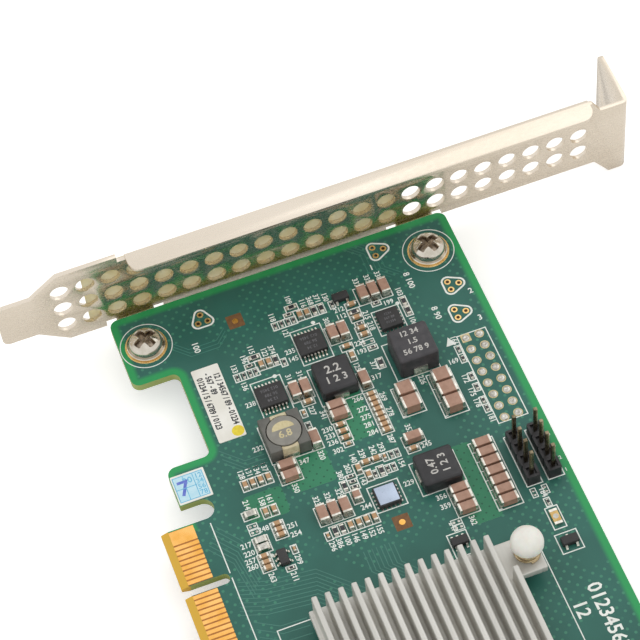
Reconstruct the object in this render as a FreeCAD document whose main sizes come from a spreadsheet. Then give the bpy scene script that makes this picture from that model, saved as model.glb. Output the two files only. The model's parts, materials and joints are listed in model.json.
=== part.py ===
import FreeCAD, Part
import os
import Sketcher
from FreeCAD import Placement, Rotation, Vector

# Low-profile eight-port storage controller card on a full-height vented bracket.
# X runs along the card away from the bracket, Y from the slot contacts to the top edge
# and Z up from the component face. The origin is the datum of the slot: the centre line
# of the key notch, on the contact edge, at the component face. Millimetres.

doc = FreeCAD.newDocument("ControllerCard")

SIZES = {
    # printed circuit board
    "board_length": 167.65, "board_height": 68.9, "board_thickness": 1.57,
    "key_to_front": 57.15, "board_foot": 4.75, "board_corner": 1.6, "recess_start": 14.95,
    "recess_length": 18.3, "recess_top": 12.95, "recess_corner": 1.3, "relief_width": 3.95,
    "relief_top": 10.15, "key_width": 1.9, "key_depth": 8.25,
    # slot contacts
    "contact_pitch": 1.0, "contact_width": 0.7, "contact_length": 4.35, "contact_setback": 1.3,
    "short_row": 11, "long_row": 38, "merged_contacts": 3, "first_contact": 1.5,
    "contact_margin": 0.65, "copper": 0.05, "bevel_rise": 1.3, "bevel_depth": 0.45,
    # bracket
    "sheet": 0.86, "bend": 0.5, "bracket_gap": 1.3, "bracket_length": 120.02,
    "bracket_width": 18.42, "tongue_drop": 14.0, "tongue_width": 10.19, "tongue_length": 6.4,
    "tongue_lift": 4.1, "shoulder": 5.4, "tongue_corner": 1.4, "flange_depth": 4.1,
    "flange_start": 24.4, "flange_end": 8.2, "flange_corner": 2.4, "step_rise": 4.0,
    "step_end": 3.6, "step_run": 3.0, "step_top_end": 5.6, "step_top_run": 2.5,
    "tab_depth": 11.43, "tab_corner": 1.0, "tab_slot_width": 4.42, "tab_slot_depth": 7.3,
    "tab_slot_out": 5.8, "relief_cut": 1.5, "vent_diameter": 3.5, "vent_pitch": 4.69,
    "vent_first": 16.55, "vent_low": 4.35, "vent_columns": 22, "vent_rows": 3, "vent_before": 4,
    "film": 0.15, "film_start": 2.0, "film_end": 61.0,
    # bracket screws, which pass through the board into the bracket's ears
    "screw_in": 7.35, "screw_low": 9.55, "screw_high": 5.7, "screw_thread": 3.0,
    "screw_hole": 3.6, "ear_width": 7.0, "ear_low": 3.0, "ear_reach": 4.1, "ear_relief": 1.9,
    "fit": 0.05, "pad_diameter": 7.7, "flange_diameter": 6.9, "flange_height": 0.55,
    "head_diameter": 5.7, "head_height": 2.3, "head_bevel": 0.9, "recess_arm": 0.85,
    "recess_span": 3.1, "recess_depth": 1.3, "screw_below": 0.9,
    # heatsink and what clamps it
    "sink_front": 13.15, "sink_length": 45.0, "sink_low": 17.7, "sink_base": 1.5,
    "fin_count": 15, "fin_pitch": 2.3, "fin_width": 0.95, "fin_height": 4.35, "fin_inset": 0.75,
    "lug_length": 7.0, "lug_reach": 4.6, "lug_clear": 4.1, "pin_hole": 3.1, "pin_shank": 2.7,
    "pin_head": 5.6, "pin_head_height": 3.3, "pin_barb": 3.7, "pin_barb_height": 2.6,
    "pin_bevel": 1.2, "spring_wire": 0.5, "spring_diameter": 4.5, "spring_turns": 3.5,
    "spring_chords": 8, "spring_height": 3.2, "package_width": 27.0, "package_height": 1.15,
    "cap_width": 23.0, "cap_height": 1.1, "thermal_pad": 0.25, "thermal_width": 21.0,
    # moulded and drum power inductors
    "choke_length": 6.9, "choke_width": 6.6, "choke_height": 3.0, "tall_width": 7.2,
    "tall_height": 5.0, "choke_edge": 0.35, "clip_width": 2.6, "clip_thickness": 0.2,
    "clip_reach": 0.45, "drum_width": 7.3, "drum_height": 3.3, "drum_disc": 6.0,
    "drum_gap": 0.15,
    # ceramic capacitors, resistors and fuses: the sizes of each case
    "large_length": 3.2, "large_width": 1.6, "large_height": 1.6, "wide_width": 2.5,
    "wide_height": 2.3, "mid_length": 1.6, "mid_width": 0.8, "mid_height": 0.75,
    "tiny_length": 1.0, "tiny_width": 0.5, "tiny_height": 0.5, "flat_height": 0.4,
    "medium_length": 2.0, "medium_width": 1.25, "small_flat_height": 0.35, "large_pitch": 2.0,
    "mid_pitch": 1.12,
    # integrated circuits
    "tssop_length": 4.4, "tssop_width": 5.0, "tssop_height": 1.05, "tssop_span": 6.4,
    "tssop_pitch": 0.65, "lead_width": 0.28, "lead_thickness": 0.15, "stand_off": 0.1,
    "quad_width": 4.0, "quad_height": 0.95, "sot_length": 1.6, "sot_width": 2.9,
    "sot_height": 1.0, "sot_span": 2.8, "sot_pitch": 0.95, "sot_lead": 0.4, "flash_length": 7.5,
    "flash_width": 5.2, "flash_height": 1.8, "flash_span": 10.3, "flash_pitch": 1.27,
    "quad_lid": 3.5, "crystal_length": 5.0, "crystal_width": 3.2, "crystal_height": 0.9,
    # pin headers and the empty two-row footprint
    "header_pitch": 2.54, "header_pins": 4, "header_height": 2.54, "header_notch": 0.6,
    "pin_square": 0.64, "pin_rise": 8.5, "pin_tail": 1.4, "header_low": 7.1, "header_step": 3.9,
    "header_front": -7.45,
    # internal ports at the far end
    "port_width": 22.4, "port_height": 8.7, "port_depth": 17.0, "port_wall": 0.4,
    "port_overhang": 0.8, "port_spacing": 26.0, "port_low": 21.4, "port_cavity": 6.5,
    "port_slot_width": 17.0, "port_slot_height": 2.0, "port_latch": 3.2, "port_slot_depth": 5.2,
    "port_count": 2, "coupling_count": 8, "coupling_pitch": 1.5, "coupling_gap": 3.0,
    # labels and small trim
    "label_thickness": 0.1, "label_length": 16.0, "label_width": 5.0, "label_left": -41.4,
    "label_low": 15.05, "tag_length": 5.9, "tag_width": 6.0, "tag_left": -22.1,
    "led_right": 7.3, "led_low": 6.3, "led_length": 3.0, "led_width": 1.4, "led_height": 0.5,
    "led_lens": 0.5,
}

sheet = doc.addObject("Spreadsheet::Sheet", "dims")
for row, (alias, size) in enumerate(SIZES.items(), start=1):
    sheet.set(f"A{row}", alias)
    sheet.set(f"B{row}", str(size))
    sheet.setAlias(f"B{row}", alias)
doc.recompute()


# Building helpers: every size is an expression on the sheet above.

FRONT = "-dims.key_to_front"
FAR = "(dims.board_length - dims.key_to_front)"
UNDER = "(-dims.board_thickness)"
INNER = "(-dims.key_to_front - dims.bracket_gap)"
OUTER = f"({INNER} - dims.sheet)"
AXES = {
    "X": Rotation(Vector(0, 1, 0), 90),
    "Y": Rotation(Vector(1, 0, 0), -90),
    "Z": Rotation(),
}
TOUCH = 0.01
nodes = []


def value(expression):
    return float(doc.dims.evalExpression(expression.replace("dims.", "")))


def count(alias):
    return round(value(alias))


def bind(item, **expressions):
    for name, expression in expressions.items():
        item.setExpression(name, expression)
    return item


def move(item, x="0", y="0", z="0"):
    for axis, expression in zip("xyz", (x, y, z)):
        item.setExpression(f"Placement.Base.{axis}", expression)
    return item


def box(name, corner, size):
    item = doc.addObject("Part::Box", name)
    bind(item, Length=size[0], Width=size[1], Height=size[2])
    return move(item, *corner)


def cylinder(name, base, axis, diameter, height, turn=0, angle=360):
    item = doc.addObject("Part::Cylinder", name)
    item.Placement = Placement(Vector(), AXES[axis] * Rotation(Vector(0, 0, 1), turn))
    item.Angle = angle
    bind(item, Radius=f"({diameter}) / 2", Height=height)
    return move(item, *base)


def cut(name, base, tool):
    item = doc.addObject("Part::Cut", name)
    item.Base = base
    item.Tool = tool
    item.Refine = True
    return item


def fuse(name, *shapes):
    item = doc.addObject("Part::MultiFuse", name)
    item.Shapes = list(shapes)
    item.Refine = True
    return item


def compound(name, shapes):
    item = doc.addObject("Part::Compound", name)
    item.Links = list(shapes)
    return item


def quarter_bend(name, base, axis, length, turn):
    """The quarter ring of a fold in the bracket's sheet, about an axis at base."""
    wall = "2 * (dims.bend + dims.sheet)"
    outside = cylinder(name + "_outside", base, axis, wall, length, turn, 90)
    inside = cylinder(name + "_inside", base, axis, "2 * dims.bend", length)
    return cut(name, outside, inside)


def node(item, label):
    item.Label = label
    nodes.append(item)
    return item


def place(label, master, spots, height="0"):
    """Copies of one master part at each (x, y, turn)."""
    copies = []
    for x, y, turn in spots:
        copy = doc.addObject("App::Link", label + "_copy")
        copy.LinkedObject = master
        copy.LinkTransform = True
        copy.Placement = Placement(Vector(), Rotation(Vector(0, 0, 1), turn))
        copies.append(move(copy, str(x), str(y), height))
    return copies


def group(label, *copies):
    """One node made of several rows of separate solids."""
    return node(compound(label + "_group", [item for row in copies for item in row]), label)


# Sketch helpers: each corner, centre and diameter is a constraint bound to the sheet.

def body(name):
    return doc.addObject("PartDesign::Body", name)


def sketch(owner, name, role="XY_Plane", offset="0"):
    item = owner.newObject("Sketcher::SketchObject", name)
    plane = [feature for feature in owner.Origin.OriginFeatures if feature.Role == role]
    item.AttachmentSupport = (plane[0], [""])
    item.MapMode = "FlatFace"
    item.setExpression("AttachmentOffset.Base.z", offset)
    return item


def hold(item, links, dimensions):
    """Adds plain links, then dimensions whose last entry is an expression, all at once."""
    constraints = [Sketcher.Constraint(*link) for link in links]
    for *where, expression in dimensions:
        constraints.append(Sketcher.Constraint(*where, value(expression)))
    first = item.ConstraintCount + len(links)
    item.addConstraint(constraints)
    for index, (*_, expression) in enumerate(dimensions, start=first):
        item.setExpression(f"Constraints[{index}]", expression)


def polygon(item, points):
    start = item.GeometryCount
    corners = [Vector(value(x), value(y), 0) for x, y in points]
    sides = len(corners)
    item.addGeometry([Part.LineSegment(corners[index], corners[(index + 1) % sides])
                      for index in range(sides)])
    links = [("Coincident", start + index, 2, start + (index + 1) % sides, 1)
             for index in range(sides)]
    dimensions = []
    for index, (x, y) in enumerate(points, start=start):
        dimensions.append(("DistanceX", -1, 1, index, 1, x))
        dimensions.append(("DistanceY", -1, 1, index, 1, y))
    hold(item, links, dimensions)
    return item


def rectangle(item, left, low, length, height):
    right = f"{left} + {length}"
    top = f"{low} + {height}"
    return polygon(item, [(left, low), (right, low), (right, top), (left, top)])


def circle(item, x, y, diameter):
    centre = Vector(value(x), value(y), 0)
    edge = item.addGeometry(Part.Circle(centre, Vector(0, 0, 1), value(diameter) / 2))
    hold(item, [], [("DistanceX", -1, 1, edge, 3, x), ("DistanceY", -1, 1, edge, 3, y),
                    ("Diameter", edge, diameter)])
    return item


def facets(item, x, y, diameter, sides):
    """A many-sided stand-in for a circle, for small round shapes that repeat often."""
    points = []
    for corner in range(sides):
        angle = f"{(corner + 0.5) * 360 / sides}deg"
        points.append((f"{x} + ({diameter}) / 2 * cos({angle})",
                       f"{y} + ({diameter}) / 2 * sin({angle})"))
    return polygon(item, points)


def pad(owner, profile, length, name, flip=False, both=False):
    item = owner.newObject("PartDesign::Pad", name)
    item.Profile = profile
    item.Reversed = flip
    item.Midplane = both
    bind(item, Length=length)
    return item


def pocket(owner, profile, name, depth=None, both=False):
    item = owner.newObject("PartDesign::Pocket", name)
    item.Profile = profile
    item.Midplane = both
    if depth is None:
        item.Type = "ThroughAll"
    else:
        bind(item, Length=depth)
    return item


def soften(kind, owner, feature, name, chosen, size):
    """A fillet or chamfer on the feature's edges that the chosen test accepts."""
    doc.recompute()
    edges = [f"Edge{number}" for number, edge in enumerate(feature.Shape.Edges, start=1)
             if chosen(edge)]
    item = owner.newObject(f"PartDesign::{kind}", name)
    item.Base = (feature, edges)
    bind(item, **{"Radius" if kind == "Fillet" else "Size": size})
    return item


def edges_along(axis, *spots):
    """Accepts the edges along one axis that pass through one of the spots."""
    targets = [(value(first), value(second)) for first, second in spots]
    others = [name for name in "XYZ" if name != axis]

    def chosen(edge):
        bounds = edge.BoundBox
        if max(getattr(bounds, name + "Length") for name in others) > TOUCH:
            return False
        lows = [getattr(bounds, name + "Min") for name in others]
        return any(abs(lows[0] - a) + abs(lows[1] - b) < TOUCH for a, b in targets)

    return chosen


# Circuit board: one outline with the contact tongue, its key and relief slots, the deep
# recess in the lower edge, the screw and spring-pin holes and the 20 degree lead-in bevel.

EAR_TOP = "(-dims.board_thickness - dims.copper)"
SCREW_X = "(dims.screw_in - dims.key_to_front)"
SCREW_YS = ("dims.screw_low", "(dims.board_height - dims.screw_high)")
TONGUE_LEFT = ("(-dims.first_contact - (dims.short_row - 1) * dims.contact_pitch"
               " - dims.contact_margin)")
TONGUE_RIGHT = ("(dims.first_contact + (dims.long_row - 1) * dims.contact_pitch"
                " + dims.contact_margin)")
SINK_WIDTH = "((dims.fin_count - 1) * dims.fin_pitch + dims.fin_width + 2 * dims.fin_inset)"
SINK_HIGH = f"(dims.sink_low + {SINK_WIDTH})"
SINK_FAR = "(dims.sink_front + dims.sink_length)"
PIN_SPOTS = [
    ("(dims.sink_front + dims.lug_length / 2)", f"({SINK_HIGH} + dims.lug_reach / 2)", 0),
    (f"({SINK_FAR} - dims.lug_length / 2)", "(dims.sink_low - dims.lug_reach / 2)", 180),
]
HEADER_YS = ("(dims.board_height - dims.header_low)",
             "(dims.board_height - dims.header_low + dims.header_step)")


def round_slot(owner, name, middle, width, top):
    """A slot open at the contact edge, closed by a half circle at the top."""
    radius = f"({width}) / 2"
    shank = sketch(owner, name + "_shank")
    rectangle(shank, f"{middle} - {radius}", "-dims.bevel_rise", width,
              f"{top} - {radius} + dims.bevel_rise")
    pocket(owner, shank, name + "_cut")
    end = circle(sketch(owner, name + "_end"), middle, f"{top} - {radius}", width)
    return pocket(owner, end, name + "_round")


def header_pin_spots():
    spots = []
    for y in HEADER_YS:
        for pin in range(count("header_pins")):
            spots.append((f"dims.header_front + {pin + 0.5} * dims.header_pitch", y, 0))
    return spots


def circuit_board():
    board = body("CircuitBoard")
    blank = sketch(board, "blank")
    rectangle(blank, FRONT, "dims.board_foot", "dims.board_length",
              "dims.board_height - dims.board_foot")
    pad(board, blank, "dims.board_thickness", "laminate", flip=True)
    tongue = sketch(board, "tongue")
    rectangle(tongue, TONGUE_LEFT, "0", f"{TONGUE_RIGHT} - {TONGUE_LEFT}",
              "dims.board_foot + dims.bevel_rise")
    pad(board, tongue, "dims.board_thickness", "contact_tongue", flip=True)
    recess = sketch(board, "recess")
    start = f"({FRONT} + dims.recess_start)"
    rectangle(recess, start, "0", "dims.recess_length", "dims.recess_top")
    pocket(board, recess, "lower_recess")
    half = "dims.relief_width / 2"
    round_slot(board, "near_relief", f"({TONGUE_LEFT} - {half})", "dims.relief_width",
               "dims.relief_top")
    round_slot(board, "far_relief", f"({TONGUE_RIGHT} + {half})", "dims.relief_width",
               "dims.relief_top")
    round_slot(board, "key", "0", "dims.key_width", "dims.key_depth")
    holes = sketch(board, "holes")
    for y in SCREW_YS:
        facets(holes, SCREW_X, y, "dims.screw_hole", 16)
    for x, y, _ in PIN_SPOTS:
        facets(holes, x, y, "dims.pin_hole", 16)
    pocket(board, holes, "drilled_holes")
    pins = []
    for y in HEADER_YS:
        plated = sketch(board, "header_hole")
        facets(plated, "(dims.header_front + dims.header_pitch / 2)", y,
               "dims.pin_square * 1.55", 8)
        pins.append(pocket(board, plated, "header_drill"))
    doc.recompute()
    drilled = board.newObject("PartDesign::LinearPattern", "header_holes")
    drilled.Originals = pins
    drilled.Direction = (plated, ["H_Axis"])
    bind(drilled, Length="(dims.header_pins - 1) * dims.header_pitch",
         Occurrences="dims.header_pins")
    board.Tip = drilled
    stop = f"({start} + dims.recess_length)"
    corners = edges_along("Z", (FRONT, "dims.board_height"), (FAR, "dims.board_height"),
                         (FRONT, "dims.board_foot"), (FAR, "dims.board_foot"),
                         (start, "dims.board_foot"), (stop, "dims.board_foot"))
    rounded = soften("Fillet", board, drilled, "outer_corners", corners, "dims.board_corner")
    inner = edges_along("Z", (start, "dims.recess_top"), (stop, "dims.recess_top"))
    soften("Fillet", board, rounded, "recess_corners", inner, "dims.recess_corner")
    bevel = sketch(board, "bevel", "YZ_Plane")
    polygon(bevel, [("0", "0"), ("dims.bevel_rise", "0"), ("0", "-dims.bevel_depth")])
    polygon(bevel, [("0", UNDER), ("dims.bevel_rise", UNDER),
                    ("0", f"{UNDER} + dims.bevel_depth")])
    pocket(board, bevel, "lead_in", both=True)
    return node(board, "circuit_board")


# Slot contacts: flat gold-plated copper pads on both faces; the first three pads of the
# component face are one wide supply pad.

def contact_spots():
    spots = []
    for sign, row in ((-1, "short_row"), (1, "long_row")):
        for number in range(count(row)):
            reach = f"{sign} * (dims.first_contact + {number} * dims.contact_pitch)"
            spots.append((reach, "dims.contact_setback", 0))
    return spots


def slot_contacts():
    blade = box("ContactPad", ("-dims.contact_width / 2", "0", "0"),
                ("dims.contact_width", "dims.contact_length", "dims.copper"))
    spots = contact_spots()
    short = count("short_row")
    merged = count("merged_contacts")
    supply = box("SupplyPad", (f"{spots[short - 1][0]} - dims.contact_width / 2",
                               "dims.contact_setback", "0"),
                 ("(dims.merged_contacts - 1) * dims.contact_pitch + dims.contact_width",
                  "dims.contact_length", "dims.copper"))
    singles = spots[:short - merged] + spots[short:]
    group("component_side_contacts", [supply], place("component_contact", blade, singles))
    back = place("solder_contact", blade, spots, EAR_TOP)
    group("solder_side_contacts", back)


def ground_pads():
    """Bare copper rings under the screw heads and over the bracket's ears."""
    ring = body("PadRing")
    outline = facets(sketch(ring, "pad_outline"), "0", "0", "dims.pad_diameter", 16)
    pad(ring, facets(outline, "0", "0", "dims.screw_hole", 12), "dims.copper", "pad_ring")
    spots = [(SCREW_X, y, 0) for y in SCREW_YS]
    group("ground_pads", place("ground_pad", ring, spots),
          place("ear_pad", ring, spots, EAR_TOP))


# Bracket: one folded sheet with a vented face, an inward stiffening flange, the fixing tab
# folded outwards, the tongue that drops into the chassis and two ears under the board.

PLATE_LOW = f"({EAR_TOP} - dims.sheet)"
PLATE_HIGH = f"({PLATE_LOW} + dims.bracket_width)"
TAB_TOP = "(dims.bracket_length - dims.tongue_drop)"
TONGUE_TIP = "(-dims.tongue_drop)"
FOLD = "(dims.sheet + dims.bend)"
FLANGE_NEAR = f"({TONGUE_TIP} + dims.flange_start)"
FLANGE_FAR = f"({TAB_TOP} - dims.flange_end)"


def bracket_face():
    face = body("BracketFace")
    outline = sketch(face, "face_outline", "YZ_Plane", OUTER)
    neck = f"{TONGUE_TIP} + dims.tongue_length"
    low = f"{PLATE_LOW} + dims.tongue_lift"
    high = f"{low} + dims.tongue_width"
    step = f"{TAB_TOP} - dims.step_end"
    upper = f"{TAB_TOP} - dims.step_top_end"
    polygon(outline, [
        (TONGUE_TIP, low), (neck, low), (f"{neck} + dims.shoulder", PLATE_LOW),
        (f"{step} - dims.step_run", PLATE_LOW), (step, f"{PLATE_LOW} - dims.step_rise"),
        (f"{TAB_TOP} - {FOLD}", f"{PLATE_LOW} - dims.step_rise"),
        (f"{TAB_TOP} - {FOLD}", f"{PLATE_HIGH} - dims.step_rise"),
        (upper, f"{PLATE_HIGH} - dims.step_rise"), (f"{upper} - dims.step_top_run", PLATE_HIGH),
        (f"{neck} + dims.shoulder", PLATE_HIGH), (neck, high), (TONGUE_TIP, high)])
    plate = pad(face, outline, "dims.sheet", "face_sheet")

    def tongue_tip(edge):
        centre = edge.BoundBox.Center
        return edge.BoundBox.XLength > TOUCH and abs(centre.y - value(TONGUE_TIP)) < TOUCH

    soften("Fillet", face, plate, "tongue_corners", tongue_tip, "dims.tongue_corner")
    return face


def vent_punches():
    """The grid of vent holes, as the punches that make them."""
    punch = body("VentPunch")
    outline = facets(sketch(punch, "vent_outline", "YZ_Plane", f"{OUTER} - dims.sheet"),
                     "0", "0", "dims.vent_diameter", 10)
    pad(punch, outline, "3 * dims.sheet", "vent_prism")
    first = "dims.vent_first - dims.vent_before * dims.vent_pitch"
    punches = []
    for row in range(count("vent_rows")):
        columns = [("0", f"{first} + {column} * dims.vent_pitch", 0)
                   for column in range(count("vent_columns"))]
        punches += place("vent", punch, columns,
                         f"{PLATE_LOW} + dims.vent_low + {row} * dims.vent_pitch")
    return punches


def leaf(name, role, offset, area, thickness, rounded, size):
    """A flat leaf of the bracket with rounded free corners."""
    piece = body(name)
    outline = rectangle(sketch(piece, name + "_outline", role, offset), *area)
    sheet_metal = pad(piece, outline, thickness, name + "_sheet")
    soften("Fillet", piece, sheet_metal, name + "_corners", rounded, size)
    return piece


def bracket():
    face = bracket_face()
    fold_x = f"({INNER} + dims.bend)"
    flange_z = f"({PLATE_HIGH} - {FOLD})"
    flange_width = f"({FLANGE_FAR} - {FLANGE_NEAR})"
    flange_edge = f"({INNER} + dims.flange_depth)"
    relief = box("FlangeRelief", (f"{OUTER} - dims.sheet", f"{FLANGE_NEAR} - dims.relief_cut",
                                  flange_z),
                 ("3 * dims.sheet", f"{flange_width} + 2 * dims.relief_cut", f"2 * {FOLD}"))
    flange_bend = quarter_bend("FlangeBend", (fold_x, FLANGE_NEAR, flange_z), "Y",
                               flange_width, 180)
    flange = leaf("Flange", "XY_Plane", f"{PLATE_HIGH} - dims.sheet",
                  (fold_x, FLANGE_NEAR, f"{flange_edge} - {fold_x}", flange_width),
                  "dims.sheet",
                  edges_along("Z", (flange_edge, FLANGE_NEAR), (flange_edge, FLANGE_FAR)),
                  "dims.flange_corner")
    tab_y = f"({TAB_TOP} - {FOLD})"
    tab_low = f"({PLATE_LOW} - dims.step_rise)"
    tab_bend = quarter_bend("TabBend", (f"{OUTER} - dims.bend", tab_y, tab_low), "Z",
                            "dims.bracket_width", 0)
    tab_tip = f"({OUTER} - dims.tab_depth)"
    tab_high = f"({tab_low} + dims.bracket_width)"
    tab = leaf("Tab", "XZ_Plane", f"-{TAB_TOP}",
               (tab_tip, tab_low, "dims.tab_depth - dims.bend", "dims.bracket_width"),
               "dims.sheet", edges_along("Y", (tab_tip, tab_low), (tab_tip, tab_high)),
               "dims.tab_corner")
    slot_x = f"({OUTER} - dims.tab_slot_out)"
    slot_top = f"({tab_low} + dims.tab_slot_depth - dims.tab_slot_width / 2)"
    slot = fuse("TabSlot",
                box("TabSlotMouth", (f"{slot_x} - dims.tab_slot_width / 2",
                                     f"{TAB_TOP} - 2 * dims.sheet",
                                     f"{tab_low} - dims.sheet"),
                    ("dims.tab_slot_width", "3 * dims.sheet",
                     f"{slot_top} - {tab_low} + dims.sheet")),
                cylinder("TabSlotEnd", (slot_x, f"{TAB_TOP} - 2 * dims.sheet", slot_top), "Y",
                         "dims.tab_slot_width", "3 * dims.sheet"))
    additions = [flange_bend, flange, tab_bend, tab]
    reliefs = [relief]
    holes = [slot]
    for number, y in enumerate(SCREW_YS, start=1):
        near = f"({y} - dims.ear_low)"
        far = f"({near} + dims.ear_width)"
        width = "dims.ear_width"
        end = f"({SCREW_X} + dims.ear_reach)"
        reliefs.append(box(f"EarRelief{number}",
                           (f"{OUTER} - dims.sheet", f"{near} - dims.ear_relief",
                            f"{PLATE_LOW} - dims.sheet"),
                           ("3 * dims.sheet", f"{width} + 2 * dims.ear_relief",
                            f"{FOLD} + dims.sheet")))
        additions.append(quarter_bend(f"EarBend{number}",
                                      (fold_x, near, f"{PLATE_LOW} + {FOLD}"), "Y", width, 90))
        additions.append(leaf(f"Ear{number}", "XY_Plane", PLATE_LOW,
                              (fold_x, near, f"{end} - {fold_x}", width), "dims.sheet",
                              edges_along("Z", (end, near), (end, far)),
                              "dims.flange_corner"))
        holes.append(cylinder(f"EarHole{number}", (SCREW_X, y, f"{PLATE_LOW} - dims.sheet"),
                              "Z", "dims.screw_thread + 2 * dims.fit", "3 * dims.sheet"))
    relieved = cut("RelievedFace", face, fuse("Reliefs", *reliefs))
    folded = fuse("FoldedSheet", relieved, *additions)
    return node(cut("Bracket", folded, compound("Punches", holes + vent_punches())), "bracket")


def bracket_film():
    """Thin protective film stuck over part of the vents, on the face that looks outwards."""
    film = box("Film", (f"{OUTER} - dims.film", "dims.film_start",
                        f"{PLATE_LOW} + {FOLD}"),
               ("dims.film", "dims.film_end - dims.film_start",
                f"dims.bracket_width - 2 * {FOLD}"))
    return node(film, "bracket_film")


def turned_part(name, stages, bevel):
    """Many-sided stages on one axis, from (diameter, low, height), with bevelled ends."""
    part = body(name)
    for number, (diameter, low, height) in enumerate(stages, start=1):
        outline = facets(sketch(part, f"{name}_ring{number}", "XY_Plane", low), "0", "0",
                         diameter, 16)
        last = pad(part, outline, height, f"{name}_stage{number}")
    doc.recompute()
    bounds = last.Shape.BoundBox

    def end_edges(edge):
        low, high = edge.BoundBox.ZMin, edge.BoundBox.ZMax
        return high - bounds.ZMin < TOUCH or bounds.ZMax - low < TOUCH

    soften("Chamfer", part, last, name + "_ends", end_edges, bevel)
    return part


def bracket_screws():
    """Flanged pan heads with a crossed recess; the threads end just below the ears."""
    rim = "(dims.copper + dims.flange_height)"
    tip = f"({PLATE_LOW} - dims.screw_below)"
    screw = turned_part("Screw", [
        ("dims.screw_thread", tip, f"dims.copper - {tip}"),
        ("dims.flange_diameter", "dims.copper", "dims.flange_height"),
        ("dims.head_diameter", rim, "dims.head_height")], "dims.head_bevel")
    for length, width in (("dims.recess_span", "dims.recess_arm"),
                          ("dims.recess_arm", "dims.recess_span")):
        arm = rectangle(sketch(screw, "recess_arm", "XY_Plane", f"{rim} + dims.head_height"),
                        f"-{length} / 2", f"-{width} / 2", length, width)
        pocket(screw, arm, "recess_cut", "dims.recess_depth")
    group("bracket_screws", place("screw", screw, [(SCREW_X, y, 0) for y in SCREW_YS]))


# Heatsink: an extruded, fully finned block with two diagonal lugs, clamped on the
# controller package by spring-loaded nylon pins that snap through the board.

SINK_FLOOR = "(dims.package_height + dims.cap_height + dims.thermal_pad)"
LUG_TOP = f"({SINK_FLOOR} + dims.sink_base)"
HEAD_SEAT = f"({LUG_TOP} + dims.spring_height)"
WIRE_HALF = "(dims.spring_wire / 2 * cos(30deg))"


def heatsink():
    sink = body("Heatsink")
    base = rectangle(sketch(sink, "sink_plan", "XY_Plane", SINK_FLOOR), "dims.sink_front",
                     "dims.sink_low", "dims.sink_length", SINK_WIDTH)
    pad(sink, base, "dims.sink_base", "base_plate")
    near = rectangle(sketch(sink, "near_lug", "XY_Plane", SINK_FLOOR), "dims.sink_front",
                     SINK_HIGH, "dims.lug_length", "dims.lug_reach")
    pad(sink, near, "dims.sink_base", "near_lug_plate")
    far = rectangle(sketch(sink, "far_lug", "XY_Plane", SINK_FLOOR),
                    f"{SINK_FAR} - dims.lug_length", "dims.sink_low - dims.lug_reach",
                    "dims.lug_length", "dims.lug_reach")
    pad(sink, far, "dims.sink_base", "far_lug_plate")
    plan = rectangle(sketch(sink, "first_fin", "XY_Plane", LUG_TOP), "dims.sink_front",
                     "dims.sink_low + dims.fin_inset", "dims.sink_length", "dims.fin_width")
    fin = pad(sink, plan, "dims.fin_height", "fin")
    doc.recompute()
    fins = sink.newObject("PartDesign::LinearPattern", "fins")
    fins.Originals = [fin]
    fins.Direction = (plan, ["V_Axis"])
    bind(fins, Length="(dims.fin_count - 1) * dims.fin_pitch", Occurrences="dims.fin_count")
    sink.Tip = fins
    doc.recompute()
    for number, (x, y, _) in enumerate(PIN_SPOTS, start=1):
        clear = rectangle(sketch(sink, f"lug_clearance{number}", "XY_Plane",
                                 f"{LUG_TOP} + dims.fin_height"),
                          f"{x} - dims.lug_length / 2", f"{y} - dims.lug_clear",
                          "dims.lug_length", "2 * dims.lug_clear")
        pocket(sink, clear, f"milled_corner{number}", "dims.fin_height")
    holes = sketch(sink, "lug_holes", "XY_Plane", LUG_TOP)
    for x, y, _ in PIN_SPOTS:
        facets(holes, x, y, "dims.pin_hole", 16)
    pocket(sink, holes, "pin_holes", "dims.sink_base")
    return node(sink, "heatsink")


def controller():
    middle = ("(dims.sink_front + dims.sink_length / 2)", f"(dims.sink_low + {SINK_WIDTH} / 2)")

    def centred(name, width, low, height):
        corner = (f"{middle[0]} - {width} / 2", f"{middle[1]} - {width} / 2", low)
        return box(name, corner, (width, width, height))

    node(centred("Substrate", "dims.package_width", "0", "dims.package_height"),
         "controller_substrate")
    node(centred("MouldCap", "dims.cap_width", "dims.package_height", "dims.cap_height"),
         "controller_cap")
    node(centred("ThermalPad", "dims.thermal_width",
                 "dims.package_height + dims.cap_height", "dims.thermal_pad"), "thermal_pad")


def spring_pins():
    pin = turned_part("SpringPin", [
        ("dims.pin_shank", UNDER, f"{HEAD_SEAT} - {UNDER}"),
        ("dims.pin_barb", f"{UNDER} - dims.pin_barb_height", "dims.pin_barb_height"),
        ("dims.pin_head", HEAD_SEAT, "dims.pin_head_height")], "dims.pin_bevel")
    group("heatsink_pins", place("heatsink_pin", pin, PIN_SPOTS))
    group("heatsink_springs", place("heatsink_spring", spring_coil(), PIN_SPOTS,
                                    f"{LUG_TOP} + {WIRE_HALF}"))


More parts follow.
